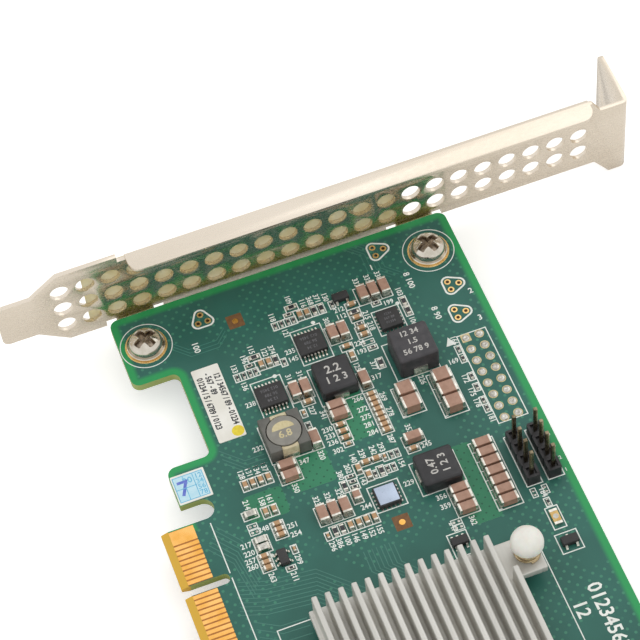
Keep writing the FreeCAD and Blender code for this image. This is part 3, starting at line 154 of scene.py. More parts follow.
finishRows = {
    # name: two tones, metallic, roughness, drift, grain, spread of gloss, relief, its depth
    # in millimetres, stretch of the pattern, other shader values
    # warm bright gold on the slot contacts, softly worn by insertion
    "hardGoldPlate": ("#FFC778 #F2B358", 1.0, 0.32, 3.0, 0.25, 0.1, 0.1),
    # thinner and paler gold over bare copper
    "goldFlashedCopper": ("#F8D798 #EEC47E", 1.0, 0.3, 2.0, 0.3),
    # cold-rolled and plated: pale, faintly warm, faintly streaked by the rolls
    "nickelPlatedSheet": ("#E8DDCE #DDD1C0", 1.0, 0.27, 18.0, 0.35, 0.05, 0.03, 0.004,
                          (1.0, 0.35, 1.0)),
    # bright head with crisp dark and light reflections
    "nickelPlatedScrewSteel": ("#D8D2C6 #C3BBAD", 1.0, 0.15, 2.0, 0.3, 0.08, 0.1),
    # browner and darker: painted shade in the screw's crossed recess; duller too
    "punchedNickelRecess": ("#9E9080 #7C6F61", 1.0, 0.3, 1.0, 0.2),
    # satin grey, with the die's long fine lines down each fin
    "extrudedAluminium": ("#D4D2CB #C6C4BD", 0.35, 0.48, 5.0, 0.35, 0.08, 0.25, 0.012,
                          (0.06, 1.0, 1.0)),
    # waxy white that light sinks into a little
    "mouldedNylon": ("#F0EFE7 #E6E4DA", 0.0, 0.38, 3.0, 0.5, 0.06, 0.1, 0.02, (1, 1, 1),
                     {"Subsurface Weight": 0.15, "Subsurface Scale": 0.0008}),
    # drawn wire, shiny and yellowed by its thin plating
    "tinnedSpringWire": ("#CDBB98 #A99470", 1.0, 0.28, 1.5, 0.2),
    # matt black with the fine grain of a spark-eroded mould
    "mouldedEpoxyPackage": ("#2C2B2B #353434", 0.0, 0.6, 3.0, 0.12, 0.12, 0.5, 0.012),
    # charcoal, sandy from the pressed powder
    "pressedIronPowder": ("#353437 #444144", 0.0, 0.5, 1.6, 0.18, 0.14, 0.6),
    # the same powder, darker and smoother under its varnish
    "varnishedIronPowder": ("#242325 #2F2E30", 0.0, 0.42, 1.6, 0.18, 0.1, 0.3),
    # smooth mid grey with a dull sheen
    "lappedFerrite": ("#85827A #928F86", 0.1, 0.45, 2.0, 0.15, 0.1, 0.2),
    # darker and rougher, left as the wheel ground it
    "groundFerrite": ("#5C5B56 #6A6963", 0.1, 0.55, 2.0, 0.15, 0.12, 0.4),
    # cream resin that set with an uneven, half-glossy top
    "pottingEpoxy": ("#D6CAA9 #BDAF8C", 0.0, 0.42, 1.4, 0.3, 0.1, 0.4, 0.03),
    # white metal, faintly cloudy
    "brightTinPlate": ("#EFEBE1 #CBC6BA", 1.0, 0.33, 0.8, 0.15, 0.12, 0.4),
    # smooth grey-white metal, puckered as it cooled
    "reflowedSolder": ("#D3D1C9 #A7A49B", 1.0, 0.27, 0.6, 0.2, 0.12, 0.6, 0.03),
    # matt and slightly mottled, brown on the large cases and tan on the small
    "firedBrownCeramic": ("#A27D69 #AF8A76", 0.0, 0.5, 0.9, 0.12, 0.1, 0.3),
    "firedTanCeramic": ("#B08A63 #C09A72", 0.0, 0.48, 0.7, 0.12, 0.1, 0.3),
    # glassy black over the resistor's film
    "glazedResistorTop": ("#232326 #34343A", 0.0, 0.3, 0.8, 0.1),
    # chalky white body
    "alumina": ("#D9D6CC #C4C0B5", 0.0, 0.6, 0.7, 0.1),
    # black plastic, clouded a little by the fibres at its skin
    "glassFilledPolyester": ("#201F21 #2B2A2C", 0.0, 0.45, 2.0, 0.2, 0.12, 0.35),
    # dull brownish metal, as tin goes on square pins
    "tinPlatedPin": ("#A0937A #6E644F", 1.0, 0.3, 1.2, 0.2, 0.12),
    # flat white, a little uneven, pressed through a mesh
    "screenInk": ("#F4F6F0 #E6EAE2", 0.0, 0.62, 1.2, 0.12),
    # flat black, greyer where it is thin
    "blackPrintingInk": ("#26282B #3A3C40", 0.0, 0.55, 0.8, 0.1),
    # dim grey, where the laser has frosted black epoxy
    "laserMarkedEpoxy": ("#5B5A5D #6B6A6D", 0.0, 0.65, 0.8, 0.1),
    # flat pale grey, and flat cream, both laid on by a soft pad
    "padPrintedMark": ("#C9C6C0 #B4B1AB", 0.0, 0.6, 0.6, 0.1),
    "creamPadPrint": ("#D3C69C #C4B68A", 0.0, 0.55, 0.6, 0.1),
    # off-white with a faint sheen from its coating
    "coatedLabelPaper": ("#F3F1E9 #E8E5DA", 0.0, 0.55, 4.0, 0.15, 0.08, 0.2, 0.01),
    # printed rules, their pale wash, a pen stroke and a marker dot, all soaked in and matt
    "paleBlueInk": ("#62B4D8 #86CAE4", 0.0, 0.55, 1.0, 0.1),
    "blueWashInk": ("#C9E8F2 #B9E0EE", 0.0, 0.55, 1.0, 0.1),
    "penInk": ("#5468C4 #6F80D2", 0.0, 0.5, 0.8, 0.1),
    "yellowMarkerInk": ("#F0DC3C #E2C934", 0.0, 0.5, 0.8, 0.1),
    # cast film: cream, smooth, and clear enough to glow where light is behind it
    "creamProtectiveFilm": ("#F7EFCB #EADCA8", 0.0, 0.35, 3.0, 0.6, 0.05, 0.02, 0.004,
                            (1, 1, 1), {"Transmission Weight": 0.3}),
    # cool grey with faint streaks across from the strip
    "stampedStainless": ("#D2D2D0 #C9C9C7", 1.0, 0.3, 9.0, 0.3, 0.1, 0.15, 0.01,
                         (0.3, 1.0, 1.0)),
    # a bluish mirror, dulled by grinding
    "groundSiliconLid": ("#B2BFD2 #BAC6DA", 0.5, 0.3, 1.5, 0.8, 0.04, 0.02),
    # softly shining warm grey can
    "drawnNickelCan": ("#CFCDC8 #B8B5AF", 1.0, 0.3, 2.0, 0.2, 0.08),
    # dark green satin
    "packageLaminate": ("#2C5A43 #346A4F", 0.0, 0.45, 3.0, 0.3),
    # soft matt grey
    "siliconeThermalPad": ("#8E8F94 #9FA0A4", 0.0, 0.7, 2.0, 0.3),
    # glossy honey block
    "amberLedResin": ("#E3C27E #CFA658", 0.0, 0.25, 0.8, 0.2, 0.08),
    # matt brown resin, where there is no copper or mask
    "bareLaminateWindow": ("#7D5833 #6E4A28", 0.0, 0.6, 0.8, 0.2),
    # shadowed brown metal inside a hole
    "platedHoleShade": ("#3B2A1C #55391F", 0.6, 0.5, 0.5, 0.2),
    # golden brown with a hint of metal: the laminate between the contacts, darkened with painted
    # shade
    "contactLaminateShade": ("#A8692B #B97834", 0.2, 0.45, 1.0, 0.2),
    # smooth champagne metal
    "levelledSolderPad": ("#CDBF96 #B9AA80", 0.9, 0.35, 0.8, 0.2),
    # glossy green, a little paler and raised over its copper
    "solderMaskOverTrace": ("#327163 #377A6B", 0.0, 0.4, 3.0, 0.3, 0.08, 0.1, 0.02, (1, 1, 1),
                            {"Coat Weight": 0.3, "Coat Roughness": 0.2}),
}
finishes = {name: makeFinish(name, *row) for name, row in finishRows.items()}
print("finishes ready")


# Distance in metres from a rounded rectangle, negative inside it.
def boxDistance(tree, where, lowX, lowY, highX, highY, radius):
    centre = ((lowX + highX) / 2 * mm, (lowY + highY) / 2 * mm, 0.0)
    half = (((highX - lowX) / 2 - radius) * mm, ((highY - lowY) / 2 - radius) * mm, 0.0)
    none = (0.0, 0.0, 0.0)
    beyond = where
    for operation, amount in (("SUBTRACT", centre), ("MULTIPLY", (1.0, 1.0, 0.0)),
                              ("ABSOLUTE", none), ("SUBTRACT", half)):
        beyond = addNode(tree, "VectorMath", {"operation": operation}, {
            0: beyond, 1: amount})
    outside = addNode(tree, "VectorMath", {"operation": "MAXIMUM"}, {
        0: beyond, 1: none})
    corner = addNode(tree, "VectorMath", {"operation": "LENGTH"}, {0: outside})
    sides = addNode(tree, "SeparateXYZ", {}, {"Vector": beyond}).outputs
    larger = addNode(tree, "Math", {"operation": "MAXIMUM"}, {
        0: sides["X"], 1: sides["Y"]})
    inside = addNode(tree, "Math", {"operation": "MINIMUM"}, {0: larger, 1: 0.0})
    both = addNode(tree, "Math", {"operation": "ADD"}, {0: corner, 1: inside})
    return addNode(tree, "Math", {"operation": "SUBTRACT"}, {
        0: both, 1: radius * mm})


def smallest(tree, values):
    found = values[0]
    for value in values[1:]:
        found = addNode(tree, "Math", {"operation": "MINIMUM"}, {0: found, 1: value})
    return found


# Solder mask over copper: glossy teal, with the copper's dotted stitching just showing, a
# brighter band where the copper stops short of the cut edge, and the laminate at the sides.
def makeBoardFinish(name, look):
    material, tree, surface = startMaterial(name, {
        "Metallic": 0.0, "Roughness": look["roughness"], "Specular IOR Level": 0.32,
        "Coat Weight": 0.08, "Coat Roughness": 0.2})
    where = addNode(tree, "TexCoord", {}, {}).outputs["Object"]
    clouds = addNode(tree, "TexNoise", {}, {
        "Vector": where, "Scale": 1 / (look["drift"] * mm), "Detail": 3.0})
    shade = addNode(tree, "MapRange", {}, {
        "Value": clouds, "From Min": 0.38, "From Max": 0.62})
    tint = addNode(tree, "Mix", {"data_type": "RGBA"}, {
        "Factor": shade, 6: colour(look["mask"]), 7: colour(look["maskLight"])})
    # staggered stitching holes under the mask, one lattice and the same one shifted
    dots = []
    for shift in ((0, 0, 0), (0.5, 0.5, 0)):
        cell = addNode(tree, "Mapping", {"vector_type": "POINT"}, {
            "Vector": where, "Location": shift,
            "Scale": (1 / (look["pitchX"] * mm), 1 / (look["pitchY"] * mm), 0)})
        wrapped = addNode(tree, "VectorMath", {"operation": "FRACTION"}, {0: cell})
        offset = addNode(tree, "VectorMath", {"operation": "SUBTRACT"}, {
            0: wrapped, 1: (0.5, 0.5, 0.0)})
        scaled = addNode(tree, "VectorMath", {"operation": "MULTIPLY"}, {
            0: offset, 1: (look["pitchX"], look["pitchY"], 0.0)})
        reach = addNode(tree, "VectorMath", {"operation": "LENGTH"}, {0: scaled})
        dots.append(addNode(tree, "MapRange", {}, {
            "Value": reach, "From Min": look["dotRadius"],
            "From Max": look["dotRadius"] + look["dotFade"], "To Min": 1.0, "To Max": 0.0}))
    both = addNode(tree, "Math", {"operation": "MAXIMUM"}, {0: dots[0], 1: dots[1]})
    areas = addNode(tree, "TexNoise", {}, {
        "Vector": where, "Scale": 1 / (look["patch"] * mm), "Detail": 1.0})
    present = addNode(tree, "MapRange", {}, {
        "Value": areas, "From Min": look["patchFrom"], "From Max": look["patchFrom"] + 0.04})
    shown = addNode(tree, "Math", {"operation": "MULTIPLY"}, {0: both, 1: present})
    faint = addNode(tree, "Math", {"operation": "MULTIPLY"}, {
        0: shown, 1: look["dotStrength"]})
    tinted = addNode(tree, "Mix", {"data_type": "RGBA"}, {
        "Factor": faint, 6: tint, 7: colour(look["dot"])})
    if look["outline"]:
        solid = smallest(tree, [boxDistance(tree, where, *box) for box in look["outline"]])
        within = addNode(tree, "Math", {"operation": "MULTIPLY"}, {0: solid, 1: -1.0})
        cuts = [boxDistance(tree, where, *box) for box in look["cuts"]]
        band = addNode(tree, "MapRange", {"interpolation_type": "SMOOTHSTEP"}, {
            "Value": smallest(tree, [within] + cuts), "From Min": look["bandFrom"] * mm,
            "From Max": look["bandTo"] * mm, "To Min": 1.0, "To Max": 0.0})
        tinted = addNode(tree, "Mix", {"data_type": "RGBA"}, {
            "Factor": band, 6: tinted, 7: colour(look["band"])})
    # cut edge: layered glass and resin, golden on the bevel that leads into the slot
    layers = addNode(tree, "TexWave", {
        "wave_type": "BANDS", "bands_direction": "Z"}, {
        "Vector": where, "Scale": 0.5 / (look["layer"] * mm), "Distortion": 1.0, "Detail": 2.0})
    edgeTint = addNode(tree, "Mix", {"data_type": "RGBA"}, {
        "Factor": layers.outputs["Fac"], 6: colour(look["edge"]), 7: colour(look["edgeLight"])})
    place = addNode(tree, "SeparateXYZ", {}, {"Vector": where})
    atBevel = addNode(tree, "Math", {"operation": "LESS_THAN"}, {
        0: place.outputs["Y"], 1: look["bevelTo"] * mm})
    sideTint = addNode(tree, "Mix", {"data_type": "RGBA"}, {
        "Factor": atBevel, 6: edgeTint, 7: colour(look["bevel"])})
    facing = addNode(tree, "SeparateXYZ", {}, {
        "Vector": addNode(tree, "NewGeometry", {}, {}).outputs["True Normal"]})
    upright = addNode(tree, "Math", {"operation": "ABSOLUTE"}, {
        0: facing.outputs["Z"]})
    flat = addNode(tree, "Math", {"operation": "GREATER_THAN"}, {0: upright, 1: 0.98})
    final = addNode(tree, "Mix", {"data_type": "RGBA"}, {
        "Factor": flat, 6: sideTint, 7: tinted})
    weave = addNode(tree, "TexNoise", {}, {
        "Vector": where, "Scale": 1 / (look["weave"] * mm), "Detail": 2.0})
    relief = addNode(tree, "Math", {"operation": "ADD"}, {0: weave, 1: shown})
    bump = addNode(tree, "Bump", {}, {
        "Height": relief, "Strength": 0.15, "Distance": look["depth"] * mm})
    setSockets(tree, surface, {"Base Color": final, "Normal": bump})
    return material


boardLow, boardHigh = nodeBox("circuit_board")
boardLook = {
    "mask": "#2A6055", "maskLight": "#2F695D", "dot": "#4D9677", "band": "#2B9A58",
    "edge": "#8E9C52", "edgeLight": "#A9B56C", "bevel": "#D9AC3C", "roughness": 0.42,
    "drift": 12.0, "pitchX": 2.1, "pitchY": 2.1, "dotRadius": 0.2, "dotFade": 0.12,
    "dotStrength": 0.55, "patch": 11.0, "patchFrom": 0.44, "bandFrom": 0.8, "bandTo": 1.9,
    "layer": 0.22, "bevelTo": 1.6, "weave": 0.5, "depth": 0.02,
    # outline of the board and tongue, then what is cut out of it: low, high and corner radius
    "outline": [(boardLow.x, 4.75, boardHigh.x, boardHigh.y, 1.6),
                (-12.15, -0.5, 39.15, 10.0, 0.5)],
    "cuts": [(-42.2, -5.0, -23.9, 12.95, 1.3)],
}
# solid copper under the mask: a brighter green, with small dark holes and no edge of its own
pourLook = dict(boardLook, mask="#2F7A58", maskLight="#35835F", dot="#1C4B3B", pitchX=1.9,
                pitchY=1.9, dotRadius=0.1, dotStrength=0.8, patchFrom=0.3, outline=[])
for name, look in (("solderMaskedLaminate", boardLook), ("solderMaskOverCopper", pourLook)):
    finishes[name] = makeBoardFinish(name, look)


# Mesh helpers, all in millimetres.
def paintFaces(faces, material):
    for face in faces:
        face.material_index = material


def addCube(shape, place, material=0):
    made = bmesh.ops.create_cube(shape, size=1, matrix=place)["verts"]
    paintFaces({face for vert in made for face in vert.link_faces}, material)
    return made


def boxPlace(low, high):
    return (Matrix.Translation([(a + b) / 2 for a, b in zip(low, high)])
            @ Matrix.Diagonal((*[b - a for a, b in zip(low, high)], 1)))


def bevelEdges(shape, edges, offset, steps, clamp=False):
    return bmesh.ops.bevel(shape, geom=edges, offset=offset, offset_type="OFFSET",
                           affect="EDGES", segments=steps, profile=0.5, material=-1,
                           clamp_overlap=clamp)


def addBlock(shape, low, high, material=0, soften=0.0, steps=1):
    made = addCube(shape, boxPlace(low, high), material)
    if soften:
        edges = list({edge for vert in made for edge in vert.link_edges})
        bevelEdges(shape, edges, soften, steps)


# A solder fillet: a block whose far upper edge is pulled down to the pad.
def addWedge(shape, low, high, away, material=0):
    toe = 0.15
    middle = (low[0] + high[0]) / 2
    for vert in addCube(shape, boxPlace(low, high), material):
        if (vert.co.x - middle) * away > 0 and vert.co.z > low[2] + 0.001:
            vert.co.z = low[2] + (high[2] - low[2]) * toe


def addTurned(shape, profile, centre=(0, 0, 0), steps=40, material=0):
    before = set(shape.faces)
    verts = [shape.verts.new((centre[0] + r, centre[1], centre[2] + z)) for r, z in profile]
    edges = [shape.edges.new(pair) for pair in zip(verts, verts[1:])]
    bmesh.ops.spin(shape, geom=verts + edges, cent=centre, axis=(0, 0, 1),
                   angle=2 * math.pi, steps=steps, use_merge=True)
    made = [face for face in shape.faces if face not in before]
    bmesh.ops.remove_doubles(shape, verts=list({v for f in made for v in f.verts}), dist=1e-4)
    made = [face for face in shape.faces if face not in before]
    bmesh.ops.recalc_face_normals(shape, faces=made)
    paintFaces(made, material)


def addDisc(shape, x, y, radius, thickness, steps, material=0, base=0):
    addTurned(shape, [(0, 0), (radius, 0), (radius, thickness), (0, thickness)], (x, y, base),
              steps, material)


def arc(radius, low, high, start, end, steps):
    points = []
    for step in range(steps + 1):
        angle = math.radians(start + (end - start) * step / steps)
        points.append((radius * math.cos(angle), low + (high - low) * math.sin(angle)))
    return points


def keep(name, shape):
    mesh = bpy.data.meshes.new(name)
    shape.to_mesh(mesh)
    shape.free()
    return mesh


def addHolder(name, data):
    holder = bpy.data.objects.new(name, data)
    bpy.context.scene.collection.objects.link(holder)
    return holder


def takeMesh(holder):
    mesh = bpy.data.meshes.new_from_object(holder)
    bpy.data.objects.remove(holder)
    return mesh


def spot(x, y, z=0.0, turn=0.0):
    return Matrix.Translation((x, y, z)) @ Matrix.Rotation(math.radians(turn), 4, "Z")


def stamp(shape, template, place):
    copy = template.copy()
    copy.transform(place)
    shape.from_mesh(copy)
    bpy.data.meshes.remove(copy)


def makePiece(name, shape, finishNames, slotName, *replaced):
    bmesh.ops.transform(shape, matrix=Matrix.Scale(mm, 4), verts=shape.verts)
    mesh = keep(name, shape)
    for finishName in finishNames.split():
        mesh.materials.append(finishes[finishName])
    mesh.polygons.foreach_set("use_smooth", [True] * len(mesh.polygons))
    mesh.set_sharp_from_angle(angle=math.radians(32))
    piece = addHolder(name, mesh)
    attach(piece, "root")
    if replaced:
        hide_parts(*replaced)


# The separate solids of a CAD node, as boxes in millimetres.
def islands(nodeName):
    shape = bmesh.new()
    shape.from_mesh(nodes[nodeName].data)
    bmesh.ops.remove_doubles(shape, verts=shape.verts, dist=1e-6)
    seen = set()
    boxes = []
    for vert in shape.verts:
        if vert in seen:
            continue
        group = [vert]
        seen.add(vert)
        for member in group:
            for edge in member.link_edges:
                other = edge.other_vert(member)
                if other not in seen:
                    seen.add(other)
                    group.append(other)
        boxes.append((Vector([min(v.co[i] for v in group) / mm for i in range(3)]),
                      Vector([max(v.co[i] for v in group) / mm for i in range(3)])))
    shape.free()
    return boxes


# A copy of a CAD node's form, merged and with its flat faces whole, its corners softened.
def cleanCopy(nodeName, soften=0.0, steps=2):
    corner = 30
    shape = bmesh.new()
    shape.from_mesh(nodes[nodeName].data)
    bmesh.ops.transform(shape, matrix=Matrix.Scale(1 / mm, 4), verts=shape.verts)
    bmesh.ops.remove_doubles(shape, verts=shape.verts, dist=1e-3)
    bmesh.ops.dissolve_limit(shape, angle_limit=math.radians(1), verts=shape.verts,
                             edges=shape.edges)
    if soften:
        edges = [edge for edge in shape.edges if len(edge.link_faces) == 2
                 and edge.calc_face_angle(0) > math.radians(corner)]
        bevelEdges(shape, edges, soften, steps, True)
    return shape


# Generic figures, cut from a flat font and raised a little like printed ink.
figureShapes = {}


def addText(shape, text, x, y, z, size, turn, thickness=0.015, material=0, aspect=1.0,
            bold=0.018):
    key = (text, size, thickness, material, aspect)
    if key not in figureShapes:
        curve = bpy.data.curves.new("figures", "FONT")
        curve.body = text
        curve.size = size
        curve.align_x = "CENTER"
        curve.align_y = "CENTER"
        curve.extrude = thickness / 2
        curve.offset = size * bold
        curve.resolution_u = 2
        letters = bmesh.new()
        letters.from_mesh(takeMesh(addHolder("figures", curve)))
        bmesh.ops.scale(letters, vec=(aspect, 1, 1), verts=letters.verts)
        bmesh.ops.remove_doubles(letters, verts=letters.verts, dist=1e-4)
        bmesh.ops.recalc_face_normals(letters, faces=letters.faces)
        paintFaces(letters.faces, material)
        figureShapes[key] = keep("figures", letters)
    stamp(shape, figureShapes[key], spot(x, y, z + thickness / 2, turn))


# A flat plate from its outline, standing on z = low.
def addPlate(shape, outline, low, high, material=0):
    face = shape.faces.new([shape.verts.new((x, y, low)) for x, y in outline])
    made = bmesh.ops.extrude_face_region(shape, geom=[face])
    top = [item for item in made["geom"] if isinstance(item, bmesh.types.BMVert)]
    bmesh.ops.translate(shape, vec=(0, 0, high - low), verts=top)
    plate = {f for vert in top for f in vert.link_faces} | {face}
    bmesh.ops.recalc_face_normals(shape, faces=list(plate))
    paintFaces(plate, material)


def roundedOutline(lowX, lowY, highX, highY, radius, steps=5):
    points = []
    for x, y, start in ((highX - radius, highY - radius, 0), (lowX + radius, highY - radius, 90),
                        (lowX + radius, lowY + radius, 180), (highX - radius, lowY + radius, 270)):
        for step in range(steps + 1):
            angle = math.radians(start + 90 * step / steps)
            points.append((x + radius * math.cos(angle), y + radius * math.sin(angle)))
    return points


print("helpers ready")

# Board, contacts, leads and hidden package take finishes over the CAD forms.
paintedNodes = {
    "solderMaskedLaminate": "circuit_board",
    "hardGoldPlate": "component_side_contacts solder_side_contacts",
    "packageLaminate": "controller_substrate",
    "mouldedEpoxyPackage": "controller_cap",
    "siliconeThermalPad": "thermal_pad",
    "brightTinPlate": "choke_clips drum_clips driver_leads small_leads memory_leads lamp_ends",
}
for finishName, nodeNames in paintedNodes.items():
    for nodeName in nodeNames.split():
        for holder in nodes[nodeName].material_slots:
            holder.material = finishes[finishName]


# Bracket: the folded CAD sheet with its vents bored truly round and every cut edge broken.
bracketLook = {"ventDiameter": 3.52, "ventSides": 40, "firstY": -2.21, "firstZ": 1.865,
               "pitch": 4.69, "columns": 22, "rows": 3, "behindBoard": 1.7, "drillLength": 4,
               "edge": 0.1, "edgeAngle": 40}


def makeBracket(look):
    cylinder = bmesh.new()
    bmesh.ops.create_cone(cylinder, cap_ends=True, segments=look["ventSides"],
                          radius1=look["ventDiameter"] / 2, radius2=look["ventDiameter"] / 2,
                          depth=look["drillLength"],
                          matrix=Matrix.Rotation(math.radians(90), 4, "Y"))
    drill = keep("ventDrill", cylinder)
    holes = bmesh.new()
    # the face sheet is the one that the vents pass through, just behind the board's end
    sheetX = boardLow.x - look["behindBoard"]
    for column in range(look["columns"]):
        for row in range(look["rows"]):
            stamp(holes, drill, spot(sheetX, look["firstY"] + column * look["pitch"],
                                     look["firstZ"] + row * look["pitch"]))
    body = addHolder("bracketForm", keep("bracketForm", cleanCopy("bracket")))
    vents = addHolder("ventHoles", keep("ventHoles", holes))
    bore = body.modifiers.new("bore", "BOOLEAN")
    bore.operation = "DIFFERENCE"
    bore.solver = "EXACT"
    bore.object = vents
    bevel = body.modifiers.new("brokenEdges", "BEVEL")
    bevel.width = look["edge"]
    bevel.segments = 2
    bevel.limit_method = "ANGLE"
    bevel.angle_limit = math.radians(look["edgeAngle"])
    graph = bpy.context.evaluated_depsgraph_get()
    shape = bmesh.new()
    shape.from_mesh(bpy.data.meshes.new_from_object(body.evaluated_get(graph)))
    for holder in (body, vents):
        bpy.data.objects.remove(holder)
    makePiece("bracketSheet", shape, "nickelPlatedSheet", "nickel_plated_steel", "bracket")


makeBracket(bracketLook)
print("bracket done")

# Film stuck over part of the vents, with its edge just rounded.
filmLook = {"edge": 0.04}


def makeFilm(look):
    shape = bmesh.new()
    addBlock(shape, *nodeBox("bracket_film"), 0, look["edge"])
    makePiece("ventFilm", shape, "creamProtectiveFilm", "protective_film", "bracket_film")


makeFilm(filmLook)

# Bracket screws: flanged pan heads, with the crossed recess pressed into the dome's points.
screwLook = {"seat": 0.05, "flangeRadius": 3.45, "headRadius": 3.05, "rim": 0.5,
             "sides": 112, "domeSteps": 27, "domePower": 0.85, "domeFoot": 0.2, "turn": 28,
             "recessSpan": 4.1, "recessArm": 1.25, "recessSlope": 0.28, "recessDepth": 1.1,
             "recessEntry": 0.35, "threadRadius": 1.5, "threadRoot": 1.22, "threadPitch": 0.5,
             "threadEnd": -2.0, "shankEnd": -1.6, "point": 1.15, "pointLength": 0.25}


def makeScrews(look):
    shape = bmesh.new()
    for low, high in islands("bracket_screws"):
        rim = look["seat"] + look["rim"]
        flange = look["flangeRadius"]
        head = look["headRadius"]
        profile = [(0, low.z), (look["point"], low.z)]
        # rolled thread below the board
        z = low.z + look["pointLength"]
        while z < look["threadEnd"]:
            profile += [(look["threadRadius"], z),
                        (look["threadRoot"], z + look["threadPitch"] / 2)]
            z += look["threadPitch"]
        profile += [(look["threadRadius"], look["shankEnd"]),
                    (look["threadRadius"], look["seat"]), (flange - 0.1, look["seat"]),
                    (flange, look["seat"] + 0.12), (flange, rim - 0.15), (flange - 0.12, rim),
                    (head + 0.06, rim - 0.05), (head, rim + 0.06)]
        top = high.z - 0.02
        foot = rim + look["domeFoot"]
        for step in range(1, look["domeSteps"]):
            angle = math.radians(90 * step / look["domeSteps"])
            profile.append((head * math.cos(angle),
                            foot + (top - foot) * math.sin(angle) ** look["domePower"]))
        profile.append((0, top))
        screw = bmesh.new()
        addTurned(screw, profile, (0, 0, 0), look["sides"])
        for vert in screw.verts:
            if vert.co.z < rim + 0.3:
                continue
            along, across = sorted((abs(vert.co.x), abs(vert.co.y)), reverse=True)
            # how far inside the cross: its arms taper towards their ends
            inside = min(look["recessArm"] / 2 - across, (look["recessSpan"] / 2 - along) * 0.8)
            sunk = min(1.0, max(0.0, inside / look["recessSlope"] + look["recessEntry"]))
            vert.co.z -= sunk * look["recessDepth"] * (1 - 0.45 * along / look["recessSpan"])
        # walls and floor of the recess take the darker finish: painted shade in the recess
        for face in screw.faces:
            middle = face.calc_center_median()
            if middle.z > rim + 0.3 and middle.xy.length < look["recessSpan"] / 2:
                if face.normal.z < 0.55 or middle.z < top - look["recessDepth"] * 0.75:
                    face.material_index = 1
        stamp(shape, keep("screw", screw), spot((low.x + high.x) / 2, (low.y + high.y) / 2, 0,
                                                look["turn"]))
    makePiece("bracketScrewSet", shape, "nickelPlatedScrewSteel punchedNickelRecess",
              "nickel_plated_screw", "bracket_screws")


makeScrews(screwLook)

# Gold-flashed lands under the screw heads and over the bracket's ears.
landLook = {"bore": 1.8, "edge": 0.03, "edgeFrom": 0.6, "sides": 64}


def makeLands(look):
    shape = bmesh.new()
    for low, high in islands("ground_pads"):
        outer = (high.x - low.x) / 2
        centre = ((low.x + high.x) / 2, (low.y + high.y) / 2, low.z)
        thick = high.z - low.z
        addTurned(shape, [(look["bore"], 0), (outer, 0), (outer, thick * look["edgeFrom"]),
                          (outer - look["edge"], thick), (look["bore"], thick),
                          (look["bore"], 0)], centre, look["sides"])
    makePiece("screwLands", shape, "goldFlashedCopper", "bare_copper_gold_flash", "ground_pads")


makeLands(landLook)
print("screws and lands done")

# Heatsink: the extrusion with its saw-cut ends and corners lightly broken.
heatsinkLook = {"edge": 0.22, "steps": 3}
makePiece("finnedHeatsink", cleanCopy("heatsink", heatsinkLook["edge"], heatsinkLook["steps"]),
          "extrudedAluminium", "extruded_aluminium", "heatsink")

pinLook = {"shank": 1.35, "headRadius": 2.8, "rim": 0.55, "barb": 1.85, "tip": 0.5, "sides": 56,
           "wire": 0.25, "wirePacking": 0.96, "coil": 2.0, "turns": 3.6, "coilSteps": 26,
           "closedTurn": 0.3}


# Push pins: a split-barb shank below a domed head, and the spring that each one compresses.
def makePushPins(look):
    pins = bmesh.new()
    coils = bmesh.new()
    springs = islands("heatsink_springs")
    springTop = max(high.z for low, high in springs)
    springFoot = min(low.z for low, high in springs)
    under = boardLow.z
    head, barb, shank, wire = look["headRadius"], look["barb"], look["shank"], look["wire"]
    for low, high in islands("heatsink_pins"):
        x = (low.x + high.x) / 2
        y = (low.y + high.y) / 2
        profile = [(0, low.z), (look["tip"], low.z + 0.05), (barb - 0.25, under - 0.75),
                   (barb, under - 0.35), (barb, under - 0.08), (barb - 0.1, under),
                   (shank, under), (shank, springTop), (head - 0.2, springTop),
                   (head - 0.03, springTop + 0.1), (head, springTop + 0.25),
                   (head, springTop + look["rim"])]
        profile += arc(head, springTop + look["rim"], high.z, 6, 90, 12)
        addTurned(pins, profile, (x, y, 0), look["sides"])
        curve = bpy.data.curves.new("coil", "CURVE")
        curve.dimensions = "3D"
        curve.bevel_depth = wire * look["wirePacking"]
        curve.bevel_resolution = 3
        curve.use_fill_caps = True
        path = curve.splines.new("POLY")
        steps = look["coilSteps"]
        total = int(look["turns"] * steps)
        path.points.add(total)
        rise = springTop - springFoot - 2 * wire
        # the first and last part turns lie closed, and the rest climb between them
        closed = steps * look["closedTurn"]
        for index in range(total + 1):
            angle = 2 * math.pi * index / steps
            share = min(1, max(0, (index - closed) / (total - 2 * closed)))
            path.points[index].co = (look["coil"] * math.cos(angle),
                                     look["coil"] * math.sin(angle), share * rise, 1)
        mesh = takeMesh(addHolder("coil", curve))
        stamp(coils, mesh, spot(x, y, springFoot + wire))
        bpy.data.meshes.remove(mesh)
    bmesh.ops.remove_doubles(coils, verts=coils.verts, dist=1e-4)
    bmesh.ops.recalc_face_normals(coils, faces=coils.faces)
    makePiece("pushPins", pins, "mouldedNylon", "white_nylon", "heatsink_pins")
    makePiece("pinSprings", coils, "tinnedSpringWire", "spring_steel", "heatsink_springs")


makePushPins(pinLook)
print("heatsink and pins done")

